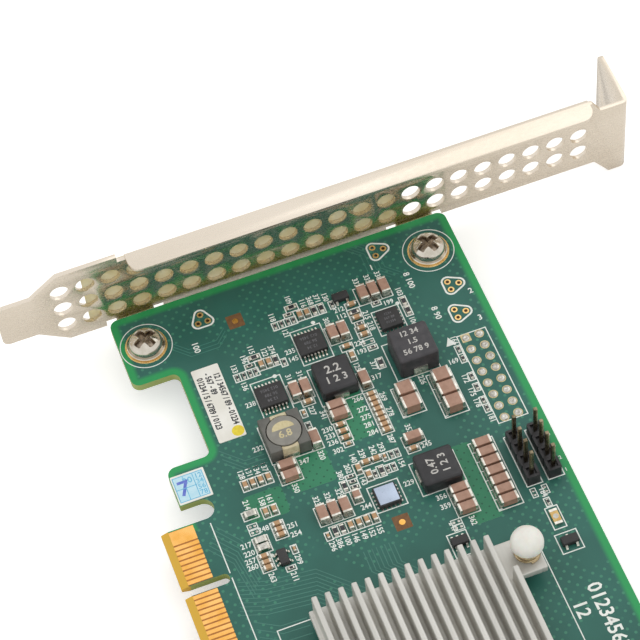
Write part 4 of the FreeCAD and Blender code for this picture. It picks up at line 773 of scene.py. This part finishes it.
# Moulded packages, chokes, pins, ports and lids keep their CAD form with softened edges.
softened = [
    # node, piece, finish, slot, edge radius
    ("driver_chips", "gateDrivers", "mouldedEpoxyPackage", "epoxy_mould_compound", 0.07),
    ("quad_chips", "flatPackages", "mouldedEpoxyPackage", "epoxy_mould_compound", 0.05),
    ("small_chips", "smallPackages", "mouldedEpoxyPackage", "epoxy_mould_compound", 0.06),
    ("memory_chip", "settingsMemory", "mouldedEpoxyPackage", "epoxy_mould_compound", 0.08),
    ("moulded_chokes", "mouldedChokes", "varnishedIronPowder", "pressed_iron_powder", 0.3),
    ("tall_choke", "tallChoke", "pressedIronPowder", "pressed_iron_powder", 0.35),
    ("drum_core", "drumCore", "lappedFerrite", "grey_ferrite", 0.12),
    ("drum_shields", "drumShields", "groundFerrite", "grey_ferrite", 0.15),
    ("drum_epoxy", "drumEpoxy", "pottingEpoxy", "cream_epoxy", 0.15),
    ("header_pins", "jumperPins", "tinPlatedPin", "bright_tin_plate", 0.06),
    ("port_housings", "driveConnectors", "glassFilledPolyester", "black_polyester", 0.12),
    ("port_cages", "connectorCages", "stampedStainless", "stamped_stainless", 0.08),
    ("crystal", "timingCrystal", "drawnNickelCan", "brushed_nickel_lid", 0.1),
    ("power_stage_lid", "powerStageLid", "groundSiliconLid", "brushed_nickel_lid", 0.02),
]
for nodeName, pieceName, finishName, slotName, radius in softened:
    makePiece(pieceName, cleanCopy(nodeName, radius), finishName, slotName, nodeName)
print("packages done")

# Header strips: a moulded block for each pin, with a square well round the pin.
headerLook = {"pitch": 2.54, "gap": 0.02, "width": 2.4, "chamfer": 0.22, "wellMargin": 0.5,
              "wellDepth": 0.55}


def makeHeaders(look):
    shape = bmesh.new()
    low, high = nodeBox("pin_headers")
    for pinLow, pinHigh in islands("header_pins"):
        middle = (pinLow + pinHigh) / 2
        made = addCube(shape, Matrix.Translation((middle.x, middle.y, (low.z + high.z) / 2))
                       @ Matrix.Diagonal((look["pitch"] - look["gap"], look["width"],
                                          high.z - low.z, 1)))
        edges = {edge for vert in made for edge in vert.link_edges}
        upright = [e for e in edges if abs(e.verts[0].co.z - e.verts[1].co.z) > 0.1]
        bevelled = bevelEdges(shape, upright, look["chamfer"], 1)
        top = max((f for v in bevelled["verts"] for f in v.link_faces),
                  key=lambda f: f.calc_center_median().z)
        bmesh.ops.inset_region(shape, faces=[top], thickness=look["wellMargin"])
        pit = bmesh.ops.extrude_face_region(shape, geom=[top])
        moved = [v for v in pit["geom"] if isinstance(v, bmesh.types.BMVert)]
        bmesh.ops.translate(shape, vec=(0, 0, -look["wellDepth"]), verts=moved)
        bmesh.ops.delete(shape, geom=[top], context="FACES_ONLY")
    bmesh.ops.recalc_face_normals(shape, faces=shape.faces)
    makePiece("jumperHeaders", shape, "glassFilledPolyester", "black_polyester", "pin_headers")


makeHeaders(headerLook)

# Chip capacitors and resistors: one shape per size, stamped where the CAD solids stand.
chipLook = {"land": 0.16, "climb": 0.7, "wrap": 0.2, "soften": 0.05, "inset": 0.02,
            "glazeMargin": 0.05, "filletWidth": 0.94}


def makeChipShape(length, width, height, look, flatTop):
    shape = bmesh.new()
    wrap = look["wrap"] * min(length, 2.0)
    land = look["land"] * length ** 0.6
    half = length / 2
    side = width / 2
    inset = look["inset"]
    addBlock(shape, (-half + wrap * 0.6, -side + inset, 0.05),
             (half - wrap * 0.6, side - inset, height - inset), 0, look["soften"] * 0.7)
    if flatTop:
        margin = look["glazeMargin"]
        addBlock(shape, (-half + wrap, -side + margin, height - 0.04),
                 (half - wrap, side - margin, height + 0.01), 3, 0.01)
    for away in (-1, 1):
        lowX, highX = sorted((away * half, away * (half - wrap)))
        addBlock(shape, (lowX, -side, 0.03), (highX, side, height), 1, look["soften"], 2)
        lowX, highX = sorted((away * (half - 0.05), away * (half + land)))
        reach = side * look["filletWidth"]
        addWedge(shape, (lowX, -reach, 0.0), (highX, reach, height * look["climb"]), away, 2)
    return keep("chipShape", shape)


def makeChips(nodeName, pieceName, slotName, body, look, top=""):
    shape = bmesh.new()
    shapes = {}
    for low, high in islands(nodeName):
        size = high - low
        alongX = size.x > size.y
        length, width = (size.x, size.y) if alongX else (size.y, size.x)
        key = (round(length, 1), round(width, 1), round(high.z, 2))
        if key not in shapes:
            shapes[key] = makeChipShape(length, width, high.z, look, bool(top))
        middle = (low + high) / 2
        stamp(shape, shapes[key], spot(middle.x, middle.y, 0, 0 if alongX else 90))
    makePiece(pieceName, shape, f"{body} brightTinPlate reflowedSolder {top}", slotName,
              nodeName)


makeChips("chip_capacitors", "smallCapacitors", "tan_ceramic", "firedTanCeramic", chipLook)
makeChips("bulk_capacitors", "largeCapacitors", "tan_ceramic", "firedBrownCeramic", chipLook)
makeChips("chip_resistors", "chipResistors", "black_glazed_resistor", "alumina", chipLook,
          "glazedResistorTop")
makeChips("chip_fuses", "chipFuses", "hot_air_solder", "packageLaminate", chipLook,
          "reflowedSolder")
print("chip parts done")

# Status lamp: a clear amber block with a pale die cup, on its two tinned ends.
lampLook = {"edge": 0.06, "cup": [(0, 0), (0.5, 0), (0.45, 0.04), (0, 0.05)]}


def makeLamp(look):
    shape = bmesh.new()
    low, high = nodeBox("indicator_lamp")
    addBlock(shape, low, high, 0, look["edge"], 2)
    middle = (low + high) / 2
    addTurned(shape, look["cup"], (middle.x, middle.y, high.z - 0.01), 24, 1)
    makePiece("statusLamp", shape, "amberLedResin alumina", "led_epoxy", "indicator_lamp")


makeLamp(lampLook)


# Strokes of ink and copper, each a flat bar with square ends.
def addLine(shape, start, end, width, thickness=0.018, material=0, base=0.0):
    run = Vector((end[0] - start[0], end[1] - start[1]))
    thickness += len(shape.verts) // 8 % 16 * 0.0005  # crossing strokes never lie level
    middle = ((start[0] + end[0]) / 2, (start[1] + end[1]) / 2, base + thickness / 2)
    place = Matrix.Translation(middle) @ Matrix.Rotation(math.atan2(run.y, run.x), 4, "Z")
    addCube(shape, place @ Matrix.Diagonal((run.length + width, width, thickness, 1)), material)


def addPath(shape, points, width, closed=False, thickness=0.018, material=0, base=0.0):
    stops = list(points) + ([points[0]] if closed else [])
    for start, end in zip(stops, stops[1:]):
        addLine(shape, start, end, width, thickness, material, base)


def addFrame(shape, lowX, lowY, highX, highY, width, thickness=0.018, material=0, base=0.0):
    addPath(shape, [(lowX, lowY), (highX, lowY), (highX, highY), (lowX, highY)], width, True,
            thickness, material, base)


# Patches of copper under the mask, each drilled with its own via grid.
pourLayout = {"thick": 0.006, "corner": 0.8,
              "areas": [(-9.5, 49.5, 6.3, 54.8), (-18, 23.5, -11, 31.5), (-28, 36, -17, 41),
                        (-13.6, 15, -8, 22)]}


def makePours(look):
    shape = bmesh.new()
    for area in look["areas"]:
        addPlate(shape, roundedOutline(*area, look["corner"]), 0.0, look["thick"])
    makePiece("copperPours", shape, "solderMaskOverCopper", "solder_masked_fr4")


makePours(pourLayout)

# Runs of parallel traces, each a path that the others follow beside it.
traceLook = {
    "width": 0.16, "thick": 0.008,
    "runs": [
        # points, how many, spacing along X and along Y
        ([(1.5, 9.2), (3.0, 13.5), (4.0, 22.0), (11.5, 29.5)], 9, (0.75, -0.2)),
        ([(9.5, 9.2), (11.8, 13.0), (12.0, 17.5)], 11, (1.5, 0.0)),
        ([(-10.0, 9.2), (-5.8, 12.4), (1.6, 13.4)], 7, (0.6, -0.45)),
        ([(-56.0, 49.0), (-53.5, 51.5), (-49.5, 51.5), (-47.0, 54.0)], 5, (0.0, 0.8)),
        ([(-47.0, 13.8), (-44.5, 16.3), (-44.5, 21.5), (-46.5, 23.5)], 3, (-0.8, 0.0)),
        ([(4.0, 30.5), (8.0, 30.5), (12.0, 34.0)], 8, (0.0, 0.75)),
        ([(-24.0, 14.5), (-20.5, 18.0), (-20.5, 21.5)], 4, (0.9, 0.0)),
        ([(60.0, 20.0), (88.0, 20.0), (90.0, 18.5)], 8, (0.0, 1.0)),
        ([(60.0, 42.0), (87.0, 42.0), (90.0, 44.5)], 8, (0.0, 1.0)),
    ],
}


def makeTraces(look):
    shape = bmesh.new()
    for points, number, (stepX, stepY) in look["runs"]:
        for index in range(number):
            moved = [(x + stepX * index, y + stepY * index) for x, y in points]
            addPath(shape, moved, look["width"], False, look["thick"])
    makePiece("maskedTraces", shape, "solderMaskOverTrace", "solder_masked_fr4")


makeTraces(traceLook)

# Between and beside the contacts a thin golden-brown sheet: the laminate, with painted shade
# between the contacts.
bedLook = {"margin": 0.1, "lowY": 1.32, "highY": 5.6, "thick": 0.012}


def makeContactBed(look):
    shape = bmesh.new()
    contacts = islands("component_side_contacts")
    for pastKey in (False, True):
        group = [box for box in contacts if (box[0].x > 0) == pastKey]
        addBlock(shape, (min(box[0].x for box in group) - look["margin"], look["lowY"], 0.0),
                 (max(box[1].x for box in group) + look["margin"], look["highY"],
                  look["thick"]))
    makePiece("contactBed", shape, "contactLaminateShade", "gold_contact")


makeContactBed(bedLook)

# Places taken by parts, so that frames and figures keep clear of them.
chipNames = ["chip_capacitors", "bulk_capacitors", "chip_resistors", "chip_fuses"]
largeNames = ["driver_chips", "quad_chips", "small_chips", "memory_chip", "moulded_chokes",
              "tall_choke", "drum_shields", "pin_headers", "crystal", "indicator_lamp",
              "asset_label", "inspection_label", "heatsink", "port_cages", "bracket_screws",
              "ground_pads", "driver_leads", "small_leads", "memory_leads"]
frameLook = {"ends": 0.34, "sides": 0.24, "join": 0.75, "overlap": 0.3}
# printed frames: low and high corners, round parts that share one, and round grouped chips
chipGroups = [(-24.4, 46.2, -18.1, 50.5), (-24.7, 52.9, -15.3, 57.3), (-8.9, 54.4, 5.3, 58.8)]
groupFrames = [
    (-33.75, 34.1, -25.6, 41.5), (-33.6, 48, -25.5, 56), (-9, 43.6, -2.2, 51.6),
    (-25.9, 22.1, -17.8, 29.5), (-42.5, 34, -34.9, 39.6), (-34.9, 23.9, -26.9, 29.4),
    (-40.9, 48.8, -35.5, 53.8), (-7.3, 35.3, -2, 40.8), (6.4, 44.4, 11, 47.8),
    (13.2, 61, 17, 64.8), *chipGroups, (-7.8, 60.5, 2.8, 63.3), (-7.8, 64.4, 2.8, 67.3),
    (-30.3, 60.9, -10.8, 66.3), (7.8, 61.5, 12.2, 63.7), (68.5, 50.2, 81.5, 61.8),
    (70.2, 11.8, 76.8, 16.2)]
numberedFrames = 9  # the first of them have a figure beside them
domeSpots = [(-29.45 + row * 2.54, 62.3 + column * 2.54) for column in range(2)
             for row in range(8)]
ringGroups = [[(-52.4, 20.5), (-50.7, 19.6), (-50.7, 21.4)],
              [(-54.25, 54.06), (-52.4, 54.06), (-53.4, 55.85)],
              [(-41.97, 63.8), (-40.2, 63.8), (-41.05, 65.6)],
              [(-35.9, 62.7), (-34.1, 62.7), (-34.9, 64.5)]]
fiducialSpots = [(-48.7, 25.9), (1.06, 38.56)]
emptyPads = [((-35.3, 45.4), (-35.3, 46.8)), ((-7.7, 14.5), (-7.7, 15.3)),
             ((-6.5, 14.5), (-6.5, 15.3)), ((4.5, 46.5), (4.5, 47.4)),
             ((5.6, 46.5), (5.6, 47.4)), ((3.85, 61.1), (4.65, 61.1)),
             ((3.85, 63.2), (4.65, 63.2))]


def flatBoxes(names):
    return [[low.x, low.y, high.x, high.y] for name in names for low, high in islands(name)]


def around(points, reach):
    return [[x - reach, y - reach, x + reach, y + reach] for x, y in points]


def chipFrames(look):
    frames = []
    for lowX, lowY, highX, highY in flatBoxes(chipNames):
        x, y = (lowX + highX) / 2, (lowY + highY) / 2
        if any(g[0] < x < g[2] and g[1] < y < g[3] for g in chipGroups):
            continue
        reachX, reachY = look["ends"], look["sides"]
        if highX - lowX <= highY - lowY:
            reachX, reachY = reachY, reachX
        frames.append([lowX - reachX, lowY - reachY, highX + reachX, highY + reachY])
    # neighbours closer than the joining distance share one line between them
    for index, first in enumerate(frames):
        for second in frames[index + 1:]:
            for axis in (0, 1):
                across = 1 - axis
                shared = (min(first[across + 2], second[across + 2])
                          - max(first[across], second[across]))
                if shared < look["overlap"]:
                    continue
                for near, far in ((first, second), (second, first)):
                    gap = far[axis] - near[axis + 2]
                    if -look["join"] < gap < look["join"] * 0.6 and far[axis] > near[axis]:
                        middle = (far[axis] + near[axis + 2]) / 2
                        far[axis] = near[axis + 2] = middle
    return frames


smallFrames = chipFrames(frameLook)

# Printed dressing of the board, a few hundredths thick: frames, edges, dots and circles.
printLook = {
    "line": 0.19, "thick": 0.018, "tick": 0.55, "padReach": (0.5, 0.45), "padLine": 0.8,
    "heatsinkFrame": [12.5, 12.2, 58.8, 57.97],
    # along the slot, on both sides of the key
    "slotLines": [(-11, -0.8), (0.3, 38.5)], "slotY": 8.53,
    "firstPinDot": 0.38,
    "firstPins": [(-43, 38.6), (-34.9, 28.5), (-41.1, 53.9), (-1.2, 16.1), (69.2, 51.2)],
    "screwCircle": [(4.56, 0), (4.72, 0), (4.72, 0.02), (4.56, 0.02), (4.56, 0)],
    "screws": [(-49.8, 9.55), (-49.8, 63.2)],
    "arrow": [(-29.0, 58.5), (-29.0, 60.3), (-30.8, 59.4)],
    "ringReach": 1.02, "ringLine": 0.32,
}


def makeSilkscreen(look):
    shape = bmesh.new()
    line = look["line"]
    for frame in groupFrames + smallFrames + [look["heatsinkFrame"]]:
        addFrame(shape, *frame, line)
    for lowX, lowY, highX, highY in flatBoxes(["bulk_capacitors"]):
        for g in chipGroups:
            if g[0] < lowX and highX < g[2] and g[1] < lowY and highY < g[3]:
                addLine(shape, (highX + 0.1, g[1]), (highX + 0.1, g[1] + look["tick"]), line)
    reachX, reachY = look["padReach"]
    for first, second in emptyPads:
        addFrame(shape, first[0] - reachX, first[1] - reachY, second[0] + reachX,
                 second[1] + reachY, line * look["padLine"])
    for start, end in look["slotLines"]:
        addLine(shape, (start, look["slotY"]), (end, look["slotY"]), line)
    for x, y in look["firstPins"]:
        addDisc(shape, x, y, look["firstPinDot"], look["thick"], 20)
    for x, y in look["screws"]:
        addTurned(shape, look["screwCircle"], (x, y, 0), 72)
    addPlate(shape, look["arrow"], 0.0, look["thick"])
    # rounded outlines round each trio of test rings
    for group in ringGroups:
        centre = Vector((sum(p[0] for p in group) / 3, sum(p[1] for p in group) / 3))
        outline = []
        for away, x, y in sorted((math.atan2(y - centre.y, x - centre.x), x, y)
                                 for x, y in group):
            for step in range(7):
                angle = away + math.radians(-60 + 20 * step)
                outline.append((x + look["ringReach"] * math.cos(angle),
                                y + look["ringReach"] * math.sin(angle)))
        addPath(shape, outline, look["ringLine"], True)
    makePiece("silkscreenLines", shape, "screenInk", "solder_masked_fr4")


makeSilkscreen(printLook)

# Reference figures beside the parts: each takes the first free place round its frame.
figureLook = {
    "size": 1.42, "gap": 0.1, "wide": 1.62, "tall": 0.78, "aspect": 0.9, "thick": 0.014,
    "shifts": (0.0, 0.6, -0.6), "margin": 0.05, "step": 3, "first": 10, "last": 289,
    # places kept free for the label, the key and the contacts
    "free": [[-42.4, 3.0, -23.7, 14.6], [-16.5, -1, -11.5, 11.0], [-11, -1, 40, 9.2]],
    # text, place, size, turn and width of the larger figures
    "large": [("0123456789", 32.0, 63.2, 3.5, 0, 0.95), ("12", 27.5, 59.7, 3.3, 0, 1.0),
              ("100", -46.0, 17.6, 1.6, 0, 1.0), ("1", -50.2, 52.4, 1.6, 90, 1.0),
              ("8 100", -45.0, 57.6, 1.6, 0, 1.0), ("8 90", -36.5, 59.5, 1.6, 0, 1.0),
              ("2", -38.6, 66.9, 1.6, 90, 1.0), ("3", -32.6, 66.3, 1.6, 90, 1.0)],
    "headerX": 2.0, "headerY": 67.9, "headerPitch": 2.54,
}


def makeFigures(look):
    shape = bmesh.new()
    taken = flatBoxes(largeNames) + [list(f) for f in groupFrames + smallFrames]
    taken += around(domeSpots, 1.2) + around(fiducialSpots, 1.7) + look["free"]
    taken += around([place for group in ringGroups for place in group], 1.6)
    limit = [boardLow.x + 2.2, 4.75, boardHigh.x - 1, boardHigh.y - 2.4]

    def fits(box):
        return (box[0] >= limit[0] and box[1] >= limit[1] and box[2] <= limit[2]
                and box[3] <= limit[3]
                and not any(box[0] < other[2] and box[2] > other[0] and box[1] < other[3]
                            and box[3] > other[1] for other in taken))

    wide, tall = look["size"] * look["wide"], look["size"] * look["tall"]
    number = look["first"]
    for lowX, lowY, highX, highY in smallFrames + groupFrames[:numberedFrames]:
        number += look["step"]
        middleX, middleY = (lowX + highX) / 2, (lowY + highY) / 2
        gap = look["gap"]
        choices = []
        for shift in look["shifts"]:
            choices += [(lowX - gap - wide / 2, middleY + shift, 0),
                        (highX + gap + wide / 2, middleY + shift, 0),
                        (middleX + shift, lowY - gap - wide / 2, 90),
                        (middleX + shift, highY + gap + wide / 2, 90),
                        (middleX + shift, highY + gap + tall / 2, 0),
                        (middleX + shift, lowY - gap - tall / 2, 0)]
        for x, y, turn in choices:
            halfX, halfY = (wide / 2, tall / 2) if turn == 0 else (tall / 2, wide / 2)
            box = [x - halfX - look["margin"], y - halfY - look["margin"],
                   x + halfX + look["margin"], y + halfY + look["margin"]]
            if fits(box):
                taken.append(box)
                addText(shape, str(100 + number % look["last"]), x, y, 0.0, look["size"], turn,
                        look["thick"], 0, look["aspect"])
                break
    for text, x, y, size, turn, aspect in look["large"]:
        addText(shape, text, x, y, 0.0, size, turn, look["thick"], 0, aspect)
    for index in range(4):
        addText(shape, str(index + 1), look["headerX"] - look["headerPitch"] * index,
                look["headerY"], 0.0, 1.0, 90)
    makePiece("referenceFigures", shape, "screenInk", "solder_masked_fr4")


makeFigures(figureLook)
print("silkscreen done")

# Marks on the packages: light figures on the chokes, faint ones on the moulded chips.
markLook = {
    # piece: finish, slot, thickness, then for each node which of its solids, size and turn
    # of the text, and the lines with their offsets along X and Y
    "chokeMarks": ("padPrintedMark", "pressed_iron_powder", 0.012, [
        ("moulded_chokes", "left", 90, [("2.2", 2.3, -1.0, 0), ("1 2 3", 2.0, 1.2, 0)]),
        ("moulded_chokes", "right", 180, [("0.47", 1.9, 0, -0.9), ("1 2 3", 1.9, 0, 1.2)]),
        ("tall_choke", "all", 90, [("12 34", 1.55, -1.9, 0), ("1.5", 1.55, 0, 0),
                                   ("56 78 9", 1.55, 1.9, 0)])]),
    "packageMarks": ("laserMarkedEpoxy", "epoxy_mould_compound", 0.006, [
        ("driver_chips", "all", -90, [("12 34", 0.85, 1.1, 0), ("56 789", 0.85, 0, 0),
                                      ("012 3456", 0.85, -1.1, 0)]),
        ("quad_chips", "left", 90, [("1234", 0.7, -0.9, 0), ("567 89", 0.7, 0, 0),
                                    ("01234", 0.7, 0.9, 0)]),
        ("memory_chip", "all", 0, [("12 34", 1.2, 0, -1.0), ("5678 901", 1.2, 0, 0.8)])]),
}
leftOf = -20  # a solid is on the left of its node's others when its middle is below this X


def makeMarks(look):
    for pieceName, (finishName, slotName, thickness, rows) in look.items():
        shape = bmesh.new()
        for nodeName, which, turn, lines in rows:
            for low, high in islands(nodeName):
                middle = (low + high) / 2
                if which in ("all", "left" if middle.x < leftOf else "right"):
                    for text, size, alongX, alongY in lines:
                        addText(shape, text, middle.x + alongX, middle.y + alongY, high.z,
                                size, turn, thickness)
        makePiece(pieceName, shape, finishName, slotName)


makeMarks(markLook)

# The drum's value, with the cream flash that marks its winding start.
drumLook = {"text": "6.8", "size": 2.0, "textX": 0.75, "flashX": 0.35, "flashDepth": 1.55,
            "flashReach": 2.0, "thick": 0.01}


def makeDrumMark(look):
    low, high = nodeBox("drum_core")
    x, y = ((low + high) / 2).xy
    shape = bmesh.new()
    addText(shape, look["text"], x + look["textX"], y, high.z, look["size"], 90, look["thick"])
    outline = [(x - look["flashX"] - look["flashDepth"] * math.sin(math.radians(a)),
                y + look["flashReach"] * math.cos(math.radians(a))) for a in range(0, 181, 15)]
    addPlate(shape, outline, high.z, high.z + look["thick"])
    makePiece("drumMark", shape, "creamPadPrint", "grey_ferrite")


makeDrumMark(drumLook)

# Side pads of the leadless packages, just proud of the moulding.
padLook = {"count": 5, "pitch": 0.78, "width": 0.36, "proud": 0.34, "sunk": 0.1, "height": 0.1,
           "edge": 0.03}


def makeSidePads(look):
    shape = bmesh.new()
    half = look["width"] / 2
    for low, high in islands("quad_chips"):
        middle = (low + high) / 2
        for step in range(look["count"]):
            offset = (step - (look["count"] - 1) / 2) * look["pitch"]
            for axis, edge, sign in ((0, high, 1), (0, low, -1), (1, high, 1), (1, low, -1)):
                ends = sorted((edge[axis] - sign * look["sunk"],
                               edge[axis] + sign * look["proud"]))
                sides = [middle[1 - axis] + offset - half, middle[1 - axis] + offset + half]
                across, along = (ends, sides) if axis == 0 else (sides, ends)
                addBlock(shape, (across[0], along[0], 0.0),
                         (across[1], along[1], look["height"]), 0, look["edge"])
    makePiece("sidePads", shape, "reflowedSolder", "bright_tin_plate")


makeSidePads(padLook)

# Plated test rings with their dark bores, and the camera targets in bare windows.
ringLook = {"ring": [(0.32, 0), (0.6, 0), (0.58, 0.03), (0.32, 0.03), (0.32, 0)], "bore": 0.32,
            "boreDepth": 0.012, "window": 1.45, "windowThick": 0.01, "target": 0.55,
            "targetThick": 0.035}


def makeRings(look):
    shape = bmesh.new()
    for group in ringGroups:
        for x, y in group:
            addTurned(shape, look["ring"], (x, y, 0), 28)
            addDisc(shape, x, y, look["bore"], look["boreDepth"], 20, 1)
    for box, (x, y) in zip(around(fiducialSpots, look["window"]), fiducialSpots):
        addPlate(shape, roundedOutline(*box, 0.15, 2), 0.0, look["windowThick"], 2)
        addDisc(shape, x, y, look["target"], look["targetThick"], 28, 3)
    makePiece("testRings", shape,
              "goldFlashedCopper platedHoleShade bareLaminateWindow hardGoldPlate",
              "bare_copper_gold_flash")


makeRings(ringLook)

# Solder that fills the empty two-row header, square at its first pin, and the bare pads.
domeLook = {
    "square": 0.85, "squareThick": 0.04, "land": [(0, 0), (0.86, 0), (0.84, 0.035), (0, 0.035)],
    "dome": [(0, 0.03), (0.7, 0.03), (0.68, 0.07), *arc(0.66, 0.07, 0.26, 8, 62, 5),
             (0.22, 0.2), (0, 0.16)],
    "pad": [(0, 0), (0.26, 0), (0.25, 0.05), (0.15, 0.09), (0, 0.1)],
}


def makeSolderDomes(look):
    shape = bmesh.new()
    for index, box in enumerate(around(domeSpots, look["square"])):
        x, y = domeSpots[index]
        if index == 0:
            addPlate(shape, roundedOutline(*box, 0.08, 2), 0.0, look["squareThick"], 1)
        else:
            addTurned(shape, look["land"], (x, y, 0), 28, 1)
        addTurned(shape, look["dome"], (x, y, 0), 28)
    for pair in emptyPads:
        for x, y in pair:
            addTurned(shape, look["pad"], (x, y, 0), 20)
    makePiece("solderDomes", shape, "reflowedSolder levelledSolderPad", "hot_air_solder")


makeSolderDomes(domeLook)

# Asset label: a printed strip with a dot from a yellow marker.
assetLook = {
    "corner": 0.25, "margin": 0.5, "firstLine": 0.95, "lineStep": 1.55, "size": 1.5,
    "narrow": 0.8, "weight": 0.035, "ink": 0.008, "dot": (1.1, 0.006), "dotX": 1.3,
    "dotY": 1.15, "lines": [("12 / 34567 / 89 - 01234", 14.2), ("- 567 - 89", 6.5),
                            ("01234 / 5 / 6789 / 0123", 14.2)],
}


def makeAssetLabel(look):
    shape = bmesh.new()
    low, high = nodeBox("asset_label")
    addPlate(shape, roundedOutline(low.x, low.y, high.x, high.y, look["corner"], 3), low.z,
             high.z)
    for row, (text, width) in enumerate(look["lines"]):
        addText(shape, text, low.x + look["margin"] + width / 2,
                high.y - look["firstLine"] - row * look["lineStep"], high.z, look["size"], 0,
                look["ink"], 1, look["narrow"], look["weight"])
    addDisc(shape, high.x - look["dotX"], high.y - look["dotY"], *look["dot"], 32, 2, high.z)
    makePiece("assetLabel", shape, "coatedLabelPaper blackPrintingInk yellowMarkerInk",
              "printed_label_paper", "asset_label")


makeAssetLabel(assetLook)

# Inspection label: pale blue rules and boxes over a wash, and one stroke of a pen.
dateLook = {
    "corner": 0.15, "side": 0.45, "foot": 0.3, "head": 0.45, "wash": 0.003, "washCorner": 0.1,
    "frame": 0.16, "rule": 0.15, "ink": 0.008, "rules": (0.34, 0.67), "topRow": 1.6,
    "months": ("12", "34", "56", "78"), "monthX": 0.85, "monthStep": 1.15, "monthY": 0.85,
    "monthSize": 1.35,
    # text, place and size of the year and of the pen's figure, which lies on the ink
    "year": ("20", 1.2, 2.4, 1.7), "pen": ("7", 0.1, 1.7, 4.2), "penLift": 0.006,
}


def makeDateLabel(look):
    ink = look["ink"]
    shape = bmesh.new()
    low, high = nodeBox("inspection_label")
    top = high.z
    addPlate(shape, roundedOutline(low.x, low.y, high.x, high.y, look["corner"], 3), low.z, top)
    left, right = low.x + look["side"], high.x - look["side"]
    foot, head = low.y + look["foot"], high.y - look["head"]
    addPlate(shape, roundedOutline(left, foot, right, head, look["washCorner"], 2), top,
             top + look["wash"], 3)
    addFrame(shape, left, foot, right, head, look["frame"], ink, 1, top)
    for share in look["rules"]:
        y = foot + (head - foot) * share
        addLine(shape, (left, y), (right, y), look["rule"], ink, 1, top)
    x = left + (right - left) * 0.5
    addLine(shape, (x, foot), (x, head - look["topRow"]), look["rule"], ink, 1, top)
    for index, text in enumerate(look["months"]):
        addText(shape, text, left + look["monthX"] + look["monthStep"] * index,
                head - look["monthY"], top, look["monthSize"], 90, ink, 1)
    text, x, y, size = look["year"]
    addText(shape, text, left + x, foot + y, top, size, 90, ink, 1)
    text, x, y, size = look["pen"]
    addText(shape, text, (low.x + high.x) / 2 + x, low.y + y, top + look["penLift"], size, 90,
            ink, 2)
    makePiece("dateLabel", shape, "coatedLabelPaper paleBlueInk penInk blueWashInk",
              "printed_label_paper", "inspection_label")


makeDateLabel(dateLook)
print("dressing done")

# Stage: a white floor and world to the camera, soft light from above and one side.
stageLook = {"floorColour": "#F1F0ED", "floorSize": 1500, "lift": (0.08, 0.42),
             "worldStrength": 0.92, "keyPower": 1.1, "keySize": 0.8,
             "keyPlace": (-0.35, 0.62, 0.72), "keyAim": (0.02, 0.035, 0)}


# 1 where a surface is seen directly, in a reflection or through something clear.
def seenSurface(tree):
    path = addNode(tree, "LightPath", {}, {}).outputs
    direct = addNode(tree, "Math", {"operation": "MAXIMUM"}, {
        0: path["Is Camera Ray"], 1: path["Is Glossy Ray"]})
    seen = addNode(tree, "Math", {"operation": "MAXIMUM"}, {
        0: direct, 1: path["Is Transmission Ray"]})
    return seen, path["Is Camera Ray"]


def makeStage(look):
    shape = bmesh.new()
    bmesh.ops.create_grid(shape, x_segments=1, y_segments=1, size=look["floorSize"],
                          matrix=Matrix.Translation((0, 0, cadBox[0][2] / mm)))
    bmesh.ops.transform(shape, matrix=Matrix.Scale(mm, 4), verts=shape.verts)
    floor = addHolder("studioFloor", keep("studioFloor", shape))
    # matt white paper, lifted to near white where it is seen
    material, tree, surface = startMaterial("paleStudioPaper", {
        "Metallic": 0.0, "Roughness": 0.9, "Base Color": colour(look["floorColour"])})
    seen, byCamera = seenSurface(tree)
    lift = addNode(tree, "MapRange", {}, {
        "Value": byCamera, "To Min": look["lift"][0], "To Max": look["lift"][1]})
    glow = addNode(tree, "Emission", {}, {"Color": (1, 1, 1, 1), "Strength": lift})
    lifted = addNode(tree, "AddShader", {}, {0: surface, 1: glow})
    shown = addNode(tree, "MixShader", {}, {"Fac": seen, 1: surface, 2: lifted})
    setSockets(tree, tree.nodes["Material Output"], {"Surface": shown})
    floor.data.materials.append(material)

    world = bpy.data.worlds.new("softStudio")
    world.use_nodes = True
    bpy.context.scene.world = world
    tree = world.node_tree
    level = addNode(tree, "MapRange", {}, {
        "Value": seenSurface(tree)[0], "To Min": look["worldStrength"], "To Max": 1.0})
    setSockets(tree, tree.nodes["Background"], {"Color": (1, 1, 1, 1), "Strength": level})
    data = bpy.data.lights.new("softKey", "AREA")
    data.size = look["keySize"]
    data.energy = look["keyPower"]
    lamp = addHolder("softKey", data)
    lamp.location = look["keyPlace"]
    aim = Vector(look["keyAim"]) - lamp.location
    lamp.rotation_euler = aim.to_track_quat("-Z", "Y").to_euler()


makeStage(stageLook)

cameraLook = {"position": (0.2082, -0.0241, 0.3704), "right": (0.342, 0.937, -0.070),
              "up": (-0.7575, 0.319, 0.569), "lens": 143.4, "sensor": 36, "clipStart": 0.01}


def makeCamera(look):
    data = bpy.data.cameras.new("viewCamera")
    data.lens = look["lens"]
    data.sensor_width = look["sensor"]
    data.clip_start = look["clipStart"]
    camera = addHolder("viewCamera", data)
    right = Vector(look["right"]).normalized()
    back = right.cross(Vector(look["up"])).normalized()
    turn = Matrix((right, back.cross(right), back)).transposed().to_4x4()
    camera.matrix_world = Matrix.Translation(look["position"]) @ turn
    bpy.context.scene.camera = camera


makeCamera(cameraLook)
bpy.context.scene.view_settings.view_transform = "Standard"
print("stage and camera done")
